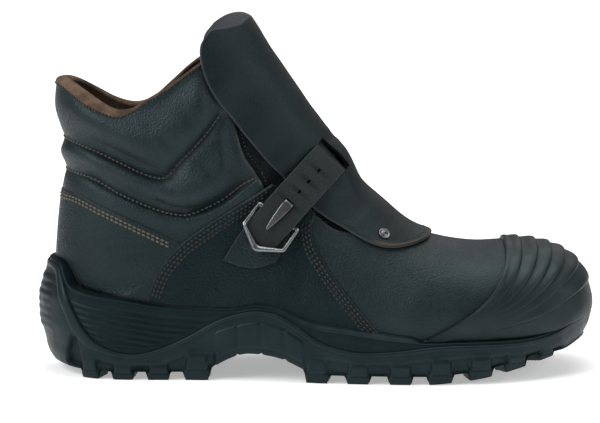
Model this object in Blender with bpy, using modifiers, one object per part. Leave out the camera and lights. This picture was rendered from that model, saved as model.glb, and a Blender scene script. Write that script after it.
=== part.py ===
"""Ankle-high safety shoe for the right foot with a front flap and a buckled strap, in separate pieces.

The tables are in millimetres: x runs from the back of the heel to the toe, y from the outer side (negative)
to the inner side, z up from the floor. Meshes are written in metres.
"""

import math

import bmesh
import bpy
import numpy as np
from mathutils import Matrix

MM = 0.001
GAP = 0.35  # clearance between neighbouring pieces

# The upper's outer face, as sections from the toe to the collar. Each runs from the feather edge or the
# back seam (back) to the front ridge (front), in the side view.
# outer, inner: half widths; belly: share of the section where it is widest; foot: share of the width left
# at its back end; crown: roundness towards the ridge; centre: sideways shift; sag, skew: how far and where
# the section hangs below its chord; wall: thickness; steps: grid rows to the next section.
SECTION_COLUMNS = ("back_x", "back_z", "front_x", "front_z", "outer", "inner", "belly", "foot", "crown",
                   "centre", "sag", "skew", "wall", "steps")
SECTIONS = (
    ("toe edge", 287, 25.0, 303.0, 28.0, 31.0, 31.0, 0.03, 0.99, 2.10, 5.0, 0, 1.0, 2.6, 1),
    ("toe front", 281, 23.5, 304.5, 41.0, 37.0, 36.5, 0.10, 0.97, 2.15, 5.0, 0, 1.0, 2.6, 1),
    ("toe upper", 274, 22.0, 301.0, 54.0, 41.0, 40.0, 0.16, 0.95, 2.20, 4.6, 0, 1.0, 2.6, 1),
    ("toe crown", 266, 20.5, 292.0, 64.0, 44.5, 43.5, 0.20, 0.95, 2.25, 4.2, 0, 1.0, 2.6, 1),
    ("toe top", 256, 19.5, 279.0, 69.5, 47.5, 46.5, 0.23, 0.95, 2.25, 3.8, 0, 1.0, 2.6, 1),
    ("toe box", 244, 18.5, 262.0, 71.5, 50.5, 48.5, 0.25, 0.94, 2.20, 3.2, 0, 1.0, 2.6, 1),
    ("vamp front", 228, 17.5, 244.0, 71.0, 52.0, 49.5, 0.26, 0.93, 2.15, 2.6, 0, 1.0, 2.6, 1),
    ("ball", 208, 17.0, 226.0, 73.5, 52.5, 48.5, 0.27, 0.92, 2.10, 2.0, 0, 1.0, 2.6, 1),
    ("vamp", 186, 17.0, 208.0, 79.4, 50.5, 45.0, 0.28, 0.92, 2.05, 1.6, 0, 1.0, 2.6, 2),
    ("throat", 160, 19.0, 191.0, 92.5, 46.0, 40.5, 0.30, 0.92, 2.00, 1.2, 0, 1.0, 2.6, 1),
    ("waist", 128, 22.0, 176.0, 105.0, 41.5, 37.0, 0.32, 0.92, 2.00, 0.8, 0, 1.0, 2.6, 1),
    ("instep", 92, 24.5, 167.0, 120.0, 38.5, 36.0, 0.35, 0.93, 2.00, 0.5, 0, 1.0, 2.6, 1),
    ("heel seat", 54, 26.0, 164.5, 124.5, 37.0, 36.0, 0.38, 0.93, 2.00, 0.2, 2, 1.0, 2.8, 1),
    ("heel round", 26, 27.0, 163.2, 127.2, 36.5, 36.0, 0.40, 0.82, 2.00, 0.0, 4, 1.0, 3.0, 1),
    ("heel turn", 17.5, 28.6, 162.6, 128.4, 36.5, 36.0, 0.41, 0.40, 2.00, 0.0, 6, 1.0, 3.2, 1),
    ("heel back", 10.5, 34.0, 162.0, 129.6, 36.5, 36.0, 0.42, 0.00, 2.00, 0.0, 8, 1.0, 3.4, 1),
    ("counter low", 9.5, 58.0, 161.0, 131.5, 36.5, 36.0, 0.42, 0.00, 2.00, 0.0, 17, 1.0, 3.6, 1),
    ("counter", 11.0, 82.0, 160.0, 133.2, 36.5, 36.0, 0.43, 0.00, 2.00, 0.0, 25, 1.0, 4.0, 1),
    ("counter top", 13.3, 102.0, 158.7, 135.0, 36.0, 35.5, 0.44, 0.00, 2.00, 0.0, 29.5, 1.0, 5.0, 1),
    ("lower seam", 15.2, 114.0, 157.0, 137.0, 34.5, 34.0, 0.45, 0.00, 2.00, 0.0, 30, 1.0, 5.0, 2),
    ("lower pad", 12.6, 122.5, 146.0, 152.5, 37.0, 36.5, 0.45, 0.00, 2.00, 0.0, 35, 1.0, 8.0, 2),
    ("upper seam", 14.2, 131.0, 134.0, 169.5, 35.0, 34.5, 0.46, 0.00, 2.00, 0.0, 36, 1.0, 6.0, 2),
    ("top pad", 9.8, 147.0, 128.0, 178.0, 37.5, 37.0, 0.46, 0.00, 2.00, 0.0, 30, 0.85, 9.0, 2),
    ("collar", 10.6, 163.0, 124.0, 183.5, 34.5, 34.0, 0.46, 0.00, 2.00, 0.0, 22.7, 0.70, 6.5, 1),
    ("flap top", 11.0, 184.0, 113.0, 198.0, 32.0, 32.0, 0.46, 0.00, 2.00, 0.0, 10, 0.70, 3.0, 1),
)
SECTION_NAMES = [row[0] for row in SECTIONS]
SECTION_TABLE = np.array([row[1:] for row in SECTIONS], float)
SAG_POWER = 2.3
# Share of a section at which the leather ends beside the throat, by section number
THROAT_EDGE = ((0, 0.77), (9.0, 0.77), (10.0, 0.74), (11.0, 0.75), (13.0, 0.765), (16.0, 0.745),
               (19.5, 0.715), (24.0, 0.705))
INNER_RIM_DROP = 0.36  # how many sections lower the collar's rim is halfway along the inner side
THROAT_END = SECTION_NAMES.index("vamp") + 0.5
HEEL_BACK = SECTION_NAMES.index("heel back")
COLLAR = SECTION_NAMES.index("collar")
SIDE_STEPS = 8  # grid columns from the back to the throat's edge
FRONT_STEPS = 4  # grid columns from there to the ridge
EDGE_WALL = 2.8  # thickness beside the throat
MAX_WALL = 9.0
FEATHER_GAP = 0.6  # extra clearance below the feather edge
SUNK = -0.8  # how deep a piece reaches into the upper before the upper's seat is cut out of it

# Outline of the sole on the floor: x, outer and inner half widths
SOLE_OUTLINE = (
    (9, 23.5, 23.5), (25, 36.0, 35.5), (50, 41.0, 40.0), (85, 41.5, 39.5), (120, 44.5, 39.5),
    (155, 50.5, 43.5),
    (190, 54.5, 49.0), (222, 55.5, 54.0), (252, 52.0, 54.0), (280, 39.5, 46.5), (300, 20.0, 30.0),
)
SOLE_LENGTH = 309.5
TOE_Y = 5.0

# Side lines of the sole: x, wave (upper edge of the tread tray), top (upper edge of the sole)
SOLE_LINES = (
    (0, 62.0, 64.0), (5, 61.5, 63.4), (9, 59.0, 61.0), (13, 53.5, 56.0), (17, 46.0, 51.0), (22, 35.5, 49.0),
    (29, 25.0, 47.3), (40, 17.5, 45.5), (54, 15.0, 43.5), (71, 19.0, 40.7), (86, 26.0, 39.6),
    (100, 34.0, 39.0),
    (112, 38.0, 39.6), (122, 39.7, 41.2), (132, 38.2, 39.8), (146, 30.5, 33.4), (153, 25.5, 31.2),
    (166, 20.0, 29.3), (181, 18.0, 27.3), (200, 19.3, 24.6), (216, 21.3, 23.3), (235, 22.3, 23.7),
    (260, 22.6, 24.0), (280, 24.5, 25.9), (297, 27.0, 28.4), (310, 28.5, 29.9),
)
# Underside: x, tip of the lugs, face between the lugs
UNDERSIDE = (
    (0, 3.0, 7.0), (10, 1.5, 5.8), (22, 0.0, 4.5), (93, 0.0, 4.5), (101, 0.0, 10.0), (118, 0.0, 16.0),
    (134, 0.0, 14.0), (147, 0.0, 8.5), (155, 0.0, 4.5), (213, 0.0, 4.5), (226, 0.8, 5.3), (245, 3.2, 7.7),
    (266, 7.8, 12.0), (279, 11.6, 15.7), (291, 15.2, 18.9), (302, 18.0, 21.4), (310, 20.3, 23.2),
)
# How far the sole's side stands inside its outline, by height: along the sides and round the heel
SIDE_INSET = ((0, 3.5), (6, 1.2), (12, 0.2), (24, 0.0), (45, 0.9), (64, 2.0))
HEEL_INSET = ((0, 9.0), (7, 6.5), (13, 4.0), (18, 3.0), (24, 1.5), (30, 0.2), (42, 0.0), (50, 1.8), (64, 5.6))
HEEL_REACH = (6.0, 42.0)  # x over which the heel's shape turns into the side's
SOLE_X = (0, 1.2, 4.5, 9, 13.5, 18, 23, 30, 40, 54, 71, 86, 98, 111, 122, 133, 144, 154, 167, 184, 208,
          236, 254, 269, 282, 293, 301, 307, SOLE_LENGTH)
TRAY_WALL = 3.0
TRAY_FLOOR = 4.0
BEAD = 1.3  # how far the bead below the wave edge stands out

# Lugs of each side: x, width
LUGS = ((28, 10), (49, 10), (69, 10.5), (89, 12.5), (155, 11), (178.5, 11), (201.5, 11), (224, 11),
        (246, 11), (266, 11), (284, 10))
LUG_INWARD = 19.0
LUG_PROUD = 0.9
# Middle lugs: x, y, length along x, width along y
MIDDLE_LUGS = ((38.5, 0, 11, 22), (59, 0, 11, 24), (79, 0, 11, 24), (166.5, -2, 12, 34), (190, -1, 12, 44),
               (213, 0, 12, 50), (234, 1, 10, 46))
# Steps round the heel's back: height, stations used on each side
HEEL_STEPS = ((27.0, 5), (35.5, 5), (44.0, 5), (52.5, 4))
HEEL_STEP_X = (0, 1.2, 4.5, 9, 13)
# Ribs of the heel panel: drop below the top edge, first x, last x
PANEL_RIBS = ((5.5, 25, 89), (11.0, 29, 82), (16.5, 33, 73), (22.0, 40, 61))
# Panels of the waist wall between its grooves: x, width
WAIST_PANELS = ((105, 11), (117.5, 11.5), (130.5, 11.5), (142.5, 9.5))

# Toe cap: the plates fan out from a point low on each side; rows by section number of the ridge
CAP_ROOT_X = 211.0
CAP_PLATES = (5.15, 4.62, 4.10, 3.55, 2.98, 2.35, 1.60, 0.16)
CAP_BEND = (4.0, 1.2)  # how strongly the first and the last row bend up
CAP_LIFT = ((200, 2.4), (250, 2.4), (275, 2.7), (290, 3.5), (300, 5.0), (308, 5.8))  # x, top of the plates
CAP_RISE = 1.2  # how far a plate climbs from its rear to its front edge
CAP_STEP = 0.10  # length of the drop between plates, in sections
CAP_REACH = 0.91  # share of the way from the ridge to the root that the plates cover
CAP_STEPS = 7

# Front flap: section number on the ridge, rear edge x and z in the side view, lift above the upper
FLAP = (
    (7.40, 216.5, 74.3, 1.4), (7.70, 206.5, 72.4, 1.4), (8.10, 195.0, 72.0, 1.2), (8.60, 184.0, 75.0, 1.0),
    (9.30, 169.5, 83.0, 1.5), (10.0, 155.0, 92.0, 2.6), (10.7, 143.0, 103.5, 3.9), (12.0, 134.0, 113.0, 2.9),
    (15.5, 127.5, 119.5, 0.7), (19.0, 121.0, 127.5, 0.5), (19.6, 114.5, 135.5, 0.4),
    (20.1, 107.5, 144.5, 0.4),
    (20.6, 101.0, 152.5, 0.5), (21.2, 96.3, 160.5, 0.6), (22.2, 93.0, 168.5, 0.8), (23.0, 91.2, 176.0, 1.2),
    (23.4, 91.5, 184.0, 1.9), (23.85, 97.0, 191.5, 2.5),
)
FLAP_THICK = 2.0
FLAP_SIDE = 0.8  # lift of the flap beside its ridge
FLAP_OVER = 5.6  # lift of its inner side over the strap
FLAP_STEPS = 4
FLAP_RIVET = (191.0, 78.3)
RIVET_RADIUS = 3.3

# Strap: where it crosses the ridge, its side-view direction and its lifts along the way from the ridge
STRAP_RIDGE = 11.5
STRAP_DIRECTION = (0.679, 0.734)
STRAP_WIDTH = 21.0
STRAP_THICK = 1.8
STRAP_OUTER = ((0, -2.0), (2, -1.5), (5, 1.2), (8, 3.8), (11, 4.9), (14, 5.1), (20, 5.2), (27, 5.8),
               (34, 7.0), (41, 7.0), (46, 6.7), (49, 6.4), (53, 5.4), (57, 4.65), (60, 4.5), (63, 4.5))
STRAP_INNER = ((0, -2.0), (6, -1.9), (14, -0.6), (20, 1.0), (26, 2.4), (33, 2.8), (56, 3.0))
STRAP_STEPS = 28
STRAP_TAPER = (44.0, 0.16)  # distance from the ridge where its end tapers, half width lost per length
SLOT = (6.0, 11.0, 22.0)  # distance from the ridge, length along the strap, width

# Buckle: outline and hole along and across its own middle, which lies beside the strap's point at BUCKLE_AT
BUCKLE_AT = 50.0
BUCKLE_MIDDLE = (3.0, 0.8)
BUCKLE_TURN = 7.0  # degrees from the strap's direction to the pointed end
BUCKLE_OUTLINE = ((-8.4, -13.7), (7.6, -14.2), (16.2, -1.2), (16.2, 1.2), (7.6, 14.2), (-8.4, 13.7))
BUCKLE_HOLE = ((-5.8, -11.6), (7.0, -12.0), (9.2, 0.0), (7.0, 12.0), (-5.8, 11.6))
BUCKLE_LIFT = 6.65  # lift of its middle
BUCKLE_TILT = 10.5  # degrees that the pointed end is turned up
BUCKLE_THICK = 1.8
# Prong: distance along the strap from its root, lift and width, over its top and back under it
PRONG_AT = 37.0
PRONG = ((-1.6, 6.4, 5.2), (-1.6, 10.2, 5.2), (3.0, 10.4, 5.2), (10.0, 9.7, 3.6), (17.7, 8.2, 1.0),
         (17.7, 7.3, 1.0), (10.0, 8.8, 3.6), (1.0, 9.3, 5.2), (0.6, 6.4, 5.2))
TAB_REAR = ((103.5, 66.5), (112, 80), (121, 91.5), (129, 99.6))
TAB_FRONT = ((133, 65.6), (136.6, 73.6), (140, 80.5), (143.2, 86.6))
TAB_BOTTOM = ((103.5, 66.5), (111, 63.8), (121, 62.2), (133, 65.6))
TAB_TOP = ((129, 99.6), (143.2, 86.6))
TAB_THICK = 1.5

# Leather overlays in the side view: border lines of each piece, bottom and top from rear to front,
# rear and front from bottom to top
QUARTER_THICK = 1.9
QUARTER_REAR = ((62, 44.5), (65.5, 55), (72, 66), (81, 75.5), (93, 84.5), (107, 93.5), (130.5, 107.5))
QUARTER_FRONT = ((189.5, 27.3), (180, 38), (169.5, 50.5), (159.5, 64), (153.5, 75), (152, 84), (154, 92))
QUARTER_TOP = ((130.5, 107.5), (138, 102.5), (146, 97.3), (154, 92))
COUNTER_THICK = 1.3
COUNTER_FRONT = ((61.4, 44.6), (64.9, 55.4), (71.4, 66.4), (80.2, 75.6))
COUNTER_TOP = ((13.3, 102), (22, 101), (38, 94.8), (58, 86), (80.2, 75.6))
COUNTER_LOW = 65.4  # height of its lower edge at the back seam
HEEL_RIM = 10.0  # how far the sole's rim lies behind the upper at the heel
# Tongue: section number on the ridge, edge x and z in the side view
TONGUE = (
    (8.0, 197.0, 67.0), (9.0, 177.0, 70.0), (10.0, 156.5, 80.0), (11.0, 141.0, 91.0), (12.5, 131.0, 98.5),
    (16.0, 123.0, 104.5), (19.0, 115.5, 113.5), (20.0, 105.0, 127.0), (21.0, 98.0, 142.0),
    (22.0, 92.0, 157.0),
    (22.9, 95.5, 167.0), (23.4, 104.0, 178.0),
)
TONGUE_DEPTH = 4.15
TONGUE_THICK = 4.0
INSOLE_THICK = 4.0

SOLE_BLACK = (0.016, 0.017, 0.018, 1.0)
LEATHER_BLACK = (0.020, 0.021, 0.022, 1.0)
FLAP_BLACK = (0.028, 0.029, 0.030, 1.0)
LINING_BROWN = (0.085, 0.050, 0.032, 1.0)
STEEL = (0.62, 0.60, 0.56, 1.0)


def curve(table, at, steady=True):
    """Columns of a table at a value of its first column, by a cubic curve; steady stays within neighbours."""
    table = np.asarray(table, float)
    knots = table[:, 0]
    values = table[:, 1:]
    at = np.clip(np.asarray(at, float), knots[0], knots[-1])
    slopes = np.gradient(values, knots, axis=0)
    if steady:
        rises = np.diff(values, axis=0) / np.diff(knots)[:, None]
        before = np.concatenate([rises[:1], rises])
        after = np.concatenate([rises, rises[-1:]])
        limit = 2 * np.minimum(np.abs(before), np.abs(after))
        slopes = np.where(before * after > 0, np.sign(slopes) * np.minimum(np.abs(slopes), limit), 0.0)
    k = np.clip(np.searchsorted(knots, at, side="right") - 1, 0, len(knots) - 2)
    span = (knots[k + 1] - knots[k])[..., None]
    t = (at - knots[k])[..., None] / span
    start = (1 + 2 * t) * (1 - t) ** 2 * values[k] + t * (1 - t) ** 2 * span * slopes[k]
    end = t * t * (3 - 2 * t) * values[k + 1] + t * t * (t - 1) * span * slopes[k + 1]
    return start + end


def fade(value, low, high):
    """0 below low, 1 above high and a smooth step between."""
    t = np.clip((np.asarray(value, float) - low) / (high - low), 0, 1)
    return t * t * (3 - 2 * t)


def section(u):
    """Named columns of the section table at a section number."""
    numbered = np.column_stack([np.arange(len(SECTIONS)), SECTION_TABLE])
    columns = curve(numbered, u, steady=False)
    return {name: columns[..., k] for k, name in enumerate(SECTION_COLUMNS)}


def side_view(u, h):
    """Place of the upper's skin in the side view: the chord of the section less its sag."""
    row = section(u)
    run_x = row["front_x"] - row["back_x"]
    run_z = row["front_z"] - row["back_z"]
    length = np.hypot(run_x, run_z)
    bump = np.sin(math.pi * np.clip(h, 0, 1) ** row["skew"]).clip(0) ** SAG_POWER
    x = row["back_x"] + run_x * h + run_z / length * row["sag"] * bump
    z = row["back_z"] + run_z * h - run_x / length * row["sag"] * bump
    return x, z


def skin(u, h, side):
    """Point of the upper's outer face: h runs from the feather edge or back seam (0) to the ridge (1)."""
    row = section(u)
    x, z = side_view(u, h)
    belly = row["belly"]
    foot = np.clip(row["foot"], 0, 1)
    above = np.clip((h - belly) / (1 - belly), 0, 1)
    below = np.clip((belly - h) / belly, 0, 1)
    rounded = (1 - above ** row["crown"]) ** (1 / row["crown"])
    tucked = foot + (1 - foot) * np.sqrt(1 - below ** 2)
    width = np.where(np.asarray(side) < 0, row["outer"], row["inner"])
    y = row["centre"] + side * width * np.where(h > belly, rounded, tucked)
    return np.stack(np.broadcast_arrays(x, y, z), axis=-1)


def skin_normal(u, h, side):
    """Outward direction of the upper's skin, from small steps along and across the sections."""
    low = np.clip(h - 0.004, 0, 1)
    high = np.clip(h + 0.004, 0, 1)
    along = skin(np.asarray(u) + 0.02, h, side) - skin(np.asarray(u) - 0.02, h, side)
    across = skin(u, high, side) - skin(u, low, side)
    normal = np.cross(along, across) * np.asarray(side, float)[..., None]
    return normal / np.linalg.norm(normal, axis=-1, keepdims=True)


def raised(u, h, side, lift):
    """Point at a lift above the upper's skin."""
    lift = np.asarray(lift, float)[..., None]
    return skin(u, h, side) + lift * skin_normal(u, h, side)


def find_skin(x, z):
    """Section number and share of the skin at a side-view place, in steps from the nearest net point."""
    x, z = np.broadcast_arrays(np.asarray(x, float), np.asarray(z, float))
    net_u, net_h = np.meshgrid(np.linspace(0, len(SECTIONS) - 1, 97), np.linspace(0, 1, 41), indexing="ij")
    net_x, net_z = side_view(net_u, net_h)
    away = (x[..., None] - net_x.ravel()) ** 2 + (z[..., None] - net_z.ravel()) ** 2
    nearest = np.argmin(away, axis=-1)
    u = net_u.ravel()[nearest]
    h = net_h.ravel()[nearest]
    for _ in range(14):
        at_x, at_z = side_view(u, h)
        du_x, du_z = side_view(u + 0.01, h)
        dh_x, dh_z = side_view(u, h - 0.002)
        a, c = (du_x - at_x) / 0.01, (du_z - at_z) / 0.01
        b, d = (dh_x - at_x) / -0.002, (dh_z - at_z) / -0.002
        det = a * d - b * c
        det = np.where(np.abs(det) < 1e-6, 1e-6, det)
        miss_x, miss_z = x - at_x, z - at_z
        u = np.clip(u + np.clip((d * miss_x - b * miss_z) / det, -0.5, 0.5), 0, len(SECTIONS) - 1)
        h = np.clip(h + np.clip((a * miss_z - c * miss_x) / det, -0.1, 0.1), 0, 1)
    return u, h


def mesh_object(name, points, faces, group, material=None):
    """A mesh object in a collection, from points in millimetres."""
    mesh = bpy.data.meshes.new(name)
    mesh.from_pydata((np.asarray(points, float).reshape(-1, 3) * MM).tolist(), [], faces)
    obj = bpy.data.objects.new(name, mesh)
    group.objects.link(obj)
    if material:
        mesh.materials.append(material)
    return obj


def tidy_mesh(obj, outward=True):
    """Weld coincident points and face the mesh outward."""
    bm = bmesh.new()
    bm.from_mesh(obj.data)
    bmesh.ops.remove_doubles(bm, verts=bm.verts, dist=1e-6)
    bmesh.ops.dissolve_degenerate(bm, edges=bm.edges, dist=1e-6)
    if outward:
        bmesh.ops.recalc_face_normals(bm, faces=bm.faces)
    bm.to_mesh(obj.data)
    bm.free()


def inflate(obj, lift):
    """Move every point of a closed mesh along its normal."""
    bm = bmesh.new()
    bm.from_mesh(obj.data)
    bm.normal_update()
    moves = [(vert, vert.normal * lift * MM) for vert in bm.verts]
    for vert, move in moves:
        vert.co += move
    bm.to_mesh(obj.data)
    bm.free()


def grid_faces(rows, columns, start=0, closed=False):
    """Quads of a grid of points; a closed grid joins its last column to its first."""
    faces = []
    for i in range(rows - 1):
        for j in range(columns if closed else columns - 1):
            k = (j + 1) % columns
            low = start + i * columns
            high = low + columns
            faces.append((low + j, low + k, high + k, high + j))
    return faces


def halved(faces):
    """Faces split into triangles from their first corner, so that nested pieces bend along the same lines."""
    return [(face[0], face[k], face[k + 1]) for face in faces for k in range(1, len(face) - 1)]


def slab(name, outer, inner, group, material):
    """Closed solid between two grids of the same shape."""
    rows, columns = outer.shape[:2]
    count = rows * columns
    faces = grid_faces(rows, columns)
    faces += [tuple(reversed(face)) for face in grid_faces(rows, columns, count)]
    rim = [i * columns for i in range(rows)]
    rim += [(rows - 1) * columns + j for j in range(1, columns)]
    rim += [i * columns + columns - 1 for i in range(rows - 2, -1, -1)]
    rim += [j for j in range(columns - 2, 0, -1)]
    for k, here in enumerate(rim):
        there = rim[(k + 1) % len(rim)]
        faces.append((here, there, there + count, here + count))
    points = np.concatenate([outer.reshape(-1, 3), inner.reshape(-1, 3)])
    obj = mesh_object(name, points, faces, group, material)
    tidy_mesh(obj)
    return obj


def tube(name, sections, group, material=None):
    """Closed solid lofted through closed sections, capped at both ends."""
    count, corners = sections.shape[:2]
    faces = grid_faces(count, corners, closed=True)
    faces.append(tuple(range(corners)))
    faces.append(tuple((count - 1) * corners + k for k in reversed(range(corners))))
    obj = mesh_object(name, sections, faces, group, material)
    tidy_mesh(obj)
    return obj


def join_points(shapes):
    """Several (points, faces) shapes as one list of points and faces."""
    points, faces, start = [], [], 0
    for shape_points, shape_faces in shapes:
        points.append(np.asarray(shape_points, float).reshape(-1, 3))
        faces += [tuple(k + start for k in face) for face in shape_faces]
        start += len(points[-1])
    return np.concatenate(points), faces


def combine(obj, other, operation):
    """A live exact Boolean on an object."""
    modifier = obj.modifiers.new(other.name, "BOOLEAN")
    modifier.operation = operation
    modifier.solver = "EXACT"
    modifier.object = other


def place(obj, origin, axes):
    """Put an object at a point, its axes along three directions."""
    frame = Matrix.Identity(4)
    for k in range(3):
        for r in range(3):
            frame[r][k] = axes[k][r]
    for r in range(3):
        frame[r][3] = origin[r] * MM
    obj.matrix_basis = frame


def principled(name, colour, roughness, metallic=0.0):
    material = bpy.data.materials.new(name)
    material.use_nodes = True
    shader = material.node_tree.nodes["Principled BSDF"]
    shader.inputs["Base Color"].default_value = colour
    shader.inputs["Roughness"].default_value = roughness
    shader.inputs["Metallic"].default_value = metallic
    return material


def grid_rows():
    """Section numbers of the upper's grid rows, toe to collar."""
    rows = []
    for k in range(COLLAR):
        steps = int(SECTION_TABLE[k, SECTION_COLUMNS.index("steps")])
        rows += [k + step / steps for step in range(steps)]
    return np.array(rows + [COLLAR], float)


def skin_net(rows):
    """Section numbers, shares and sides of the upper's grid: outer back, over the ridge, inner back."""
    edge = curve(THROAT_EDGE, rows)
    side_share = edge * np.linspace(0, 1, SIDE_STEPS + 1) ** 1.4
    front_share = 1 - (1 - edge) * np.linspace(1, 0, FRONT_STEPS + 1) ** 1.8
    half = np.concatenate([side_share, front_share[:, 1:]], axis=1)
    h = np.concatenate([half, half[:, -2::-1]], axis=1)
    sides = np.concatenate([-np.ones(half.shape[1]), np.ones(half.shape[1] - 1)])
    side = np.broadcast_to(sides, h.shape)
    drop = INNER_RIM_DROP * fade(rows, 20, COLLAR)[:, None] * np.sin(math.pi * np.clip(h / edge, 0, 1))
    u = rows[:, None] - np.where(side > 0, drop, 0.0)
    return u, h, side


def skin_faces(count, columns):
    """Quads of the upper's grid that start at their lower rear corner, so both sides split alike."""
    faces = grid_faces(count, columns)
    return [face if face[0] % columns < columns // 2 else face[1:] + face[:1] for face in faces]


def make_upper(group, material):
    rows = grid_rows()
    u, h, side = skin_net(rows)
    count, columns = u.shape
    faces = []
    for face in skin_faces(count, columns):
        i, j = divmod(min(face), columns)
        in_throat = SIDE_STEPS <= j < columns - 1 - SIDE_STEPS
        if not (in_throat and rows[i] >= THROAT_END - 0.01):
            faces.append(face)
    padded = section(u)["wall"]
    wall = EDGE_WALL + (padded - EDGE_WALL) * (1 - fade(h, 0.46, 0.64)) * fade(u, 6, 11)
    obj = mesh_object("upper", skin(u, h, side), halved(faces), group, material)
    weights = obj.vertex_groups.new(name="wall")
    for k, thickness in enumerate(wall.ravel()):
        weights.add([k], float(thickness / MAX_WALL), "REPLACE")
    bm = bmesh.new()
    bm.from_mesh(obj.data)
    loose = [vert for vert in bm.verts if not vert.link_faces]
    bmesh.ops.delete(bm, geom=loose, context="VERTS")
    bmesh.ops.remove_doubles(bm, verts=bm.verts, dist=1e-6)
    bm.to_mesh(obj.data)
    bm.free()
    shell = obj.modifiers.new("wall", "SOLIDIFY")
    shell.thickness = MAX_WALL * MM
    shell.offset = -1.0
    shell.vertex_group = "wall"
    return obj


def make_envelope(group):
    """The upper filled and grown by the clearance: it cuts its own seat into the sole."""
    rows = grid_rows()
    u, h, side = skin_net(rows)
    count, columns = u.shape
    last = columns - 1
    faces = skin_faces(count, columns)
    heel = int(np.argmin(np.abs(rows - HEEL_BACK)))
    for i in range(heel):
        faces.append((i * columns, (i + 1) * columns, (i + 1) * columns + last, i * columns + last))
    top = (count - 1) * columns
    for j in range(columns // 2):
        toe_face = (j, j + 1, last - j - 1, last - j)
        collar_face = tuple(top + k for k in toe_face)
        faces.append(tuple(dict.fromkeys(toe_face)))
        faces.append(tuple(dict.fromkeys(collar_face)))
    points = skin(u, h, side)
    points[:heel, [0, last], 2] -= FEATHER_GAP
    obj = mesh_object("upper_seat", points, halved(faces), group)
    tidy_mesh(obj)
    inflate(obj, GAP)
    return obj


def spaced(line, count):
    """Points along a line of side-view places, evenly spaced on a smooth curve through them."""
    line = np.array(line, float)
    steps = np.concatenate([[0], np.cumsum(np.linalg.norm(np.diff(line, axis=0), axis=1))])
    fine = curve(np.column_stack([steps, line]), np.linspace(0, steps[-1], 200), steady=False)
    length = np.concatenate([[0], np.cumsum(np.linalg.norm(np.diff(fine, axis=0), axis=1))])
    at = np.linspace(0, length[-1], count)
    return np.column_stack([np.interp(at, length, fine[:, k]) for k in range(2)])


def patch(bottom, top, rear, front):
    """Side-view grid between four border lines that share their corners."""
    g = np.linspace(0, 1, len(bottom))[None, :, None]
    f = np.linspace(0, 1, len(rear))[:, None, None]
    along = (1 - f) * bottom[None] + f * top[None]
    across = (1 - g) * rear[:, None] + g * front[:, None]
    corners = ((1 - f) * ((1 - g) * bottom[0] + g * bottom[-1]) + f * ((1 - g) * top[0] + g * top[-1]))
    return along + across - corners


def make_overlay(name, grid, side, lift, thickness, group, material):
    """Leather piece between two raised layers of the upper's skin, over a grid of side-view places."""
    u, h = find_skin(grid[..., 0], grid[..., 1])
    side = np.full(u.shape, float(side))
    return slab(name, raised(u, h, side, lift + thickness), raised(u, h, side, lift), group, material)


def sole_edge(first, last, count):
    """Side-view line just above the sole's top edge."""
    x = np.linspace(first, last, count)
    return np.column_stack([x, curve(SOLE_LINES, x)[:, 1] + GAP + 0.8])


def make_quarter(name, side, group, material, seat):
    columns, rows = 11, 7
    bottom = sole_edge(QUARTER_REAR[0][0], QUARTER_FRONT[0][0], columns)
    rear, front = spaced(QUARTER_REAR, rows), spaced(QUARTER_FRONT, rows)
    rear[0], front[0] = bottom[0], bottom[-1]
    grid = patch(bottom, spaced(QUARTER_TOP, columns), rear, front)
    obj = make_overlay(name, grid, side, SUNK, GAP + QUARTER_THICK - SUNK, group, material)
    combine(obj, seat, "DIFFERENCE")
    return obj


def make_counter(group, material, seat):
    """Counter round the heel: from the outer front edge over the back seam to the inner front edge."""
    columns, rows = 7, 5
    reach = np.linspace(1, 0, columns) ** 1.7
    front = spaced(COUNTER_FRONT, rows)
    top_x = COUNTER_TOP[0][0] + (front[-1, 0] - COUNTER_TOP[0][0]) * reach
    top = np.column_stack([top_x, curve(COUNTER_TOP, top_x)[:, 0]])
    back_u = np.linspace(HEEL_BACK + 0.2, HEEL_BACK + 3.2, 40)
    back_x, back_z = side_view(back_u, np.zeros(40))
    rear_z = np.linspace(COUNTER_LOW, COUNTER_TOP[0][1], rows)
    rear = np.column_stack([np.interp(rear_z, back_z, back_x), rear_z])
    low_x = rear[0, 0] + (front[0, 0] - rear[0, 0]) * reach
    rim_x = low_x - HEEL_RIM * (1 - fade(low_x, 10, 60))
    bottom = np.column_stack([low_x, curve(SOLE_LINES, rim_x)[:, 1] + GAP + 0.8])
    bottom[-1], top[-1] = rear[0], rear[-1]
    front[0] = bottom[0]
    grid = patch(bottom, top, front, rear)
    u, h = find_skin(grid[..., 0], grid[..., 1])
    h[:, -1] = 0.0
    u[:, -1] = np.interp(rear_z, back_z, back_u)
    u = np.concatenate([u, u[:, -2::-1]], axis=1)
    h = np.concatenate([h, h[:, -2::-1]], axis=1)
    side = np.where(np.arange(u.shape[1]) < columns, -1.0, 1.0) * np.ones_like(u)
    outer = raised(u, h, side, np.full_like(u, GAP + COUNTER_THICK))
    obj = slab("heel_counter", outer, raised(u, h, side, np.full_like(u, SUNK)), group, material)
    combine(obj, seat, "DIFFERENCE")
    return obj


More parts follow.
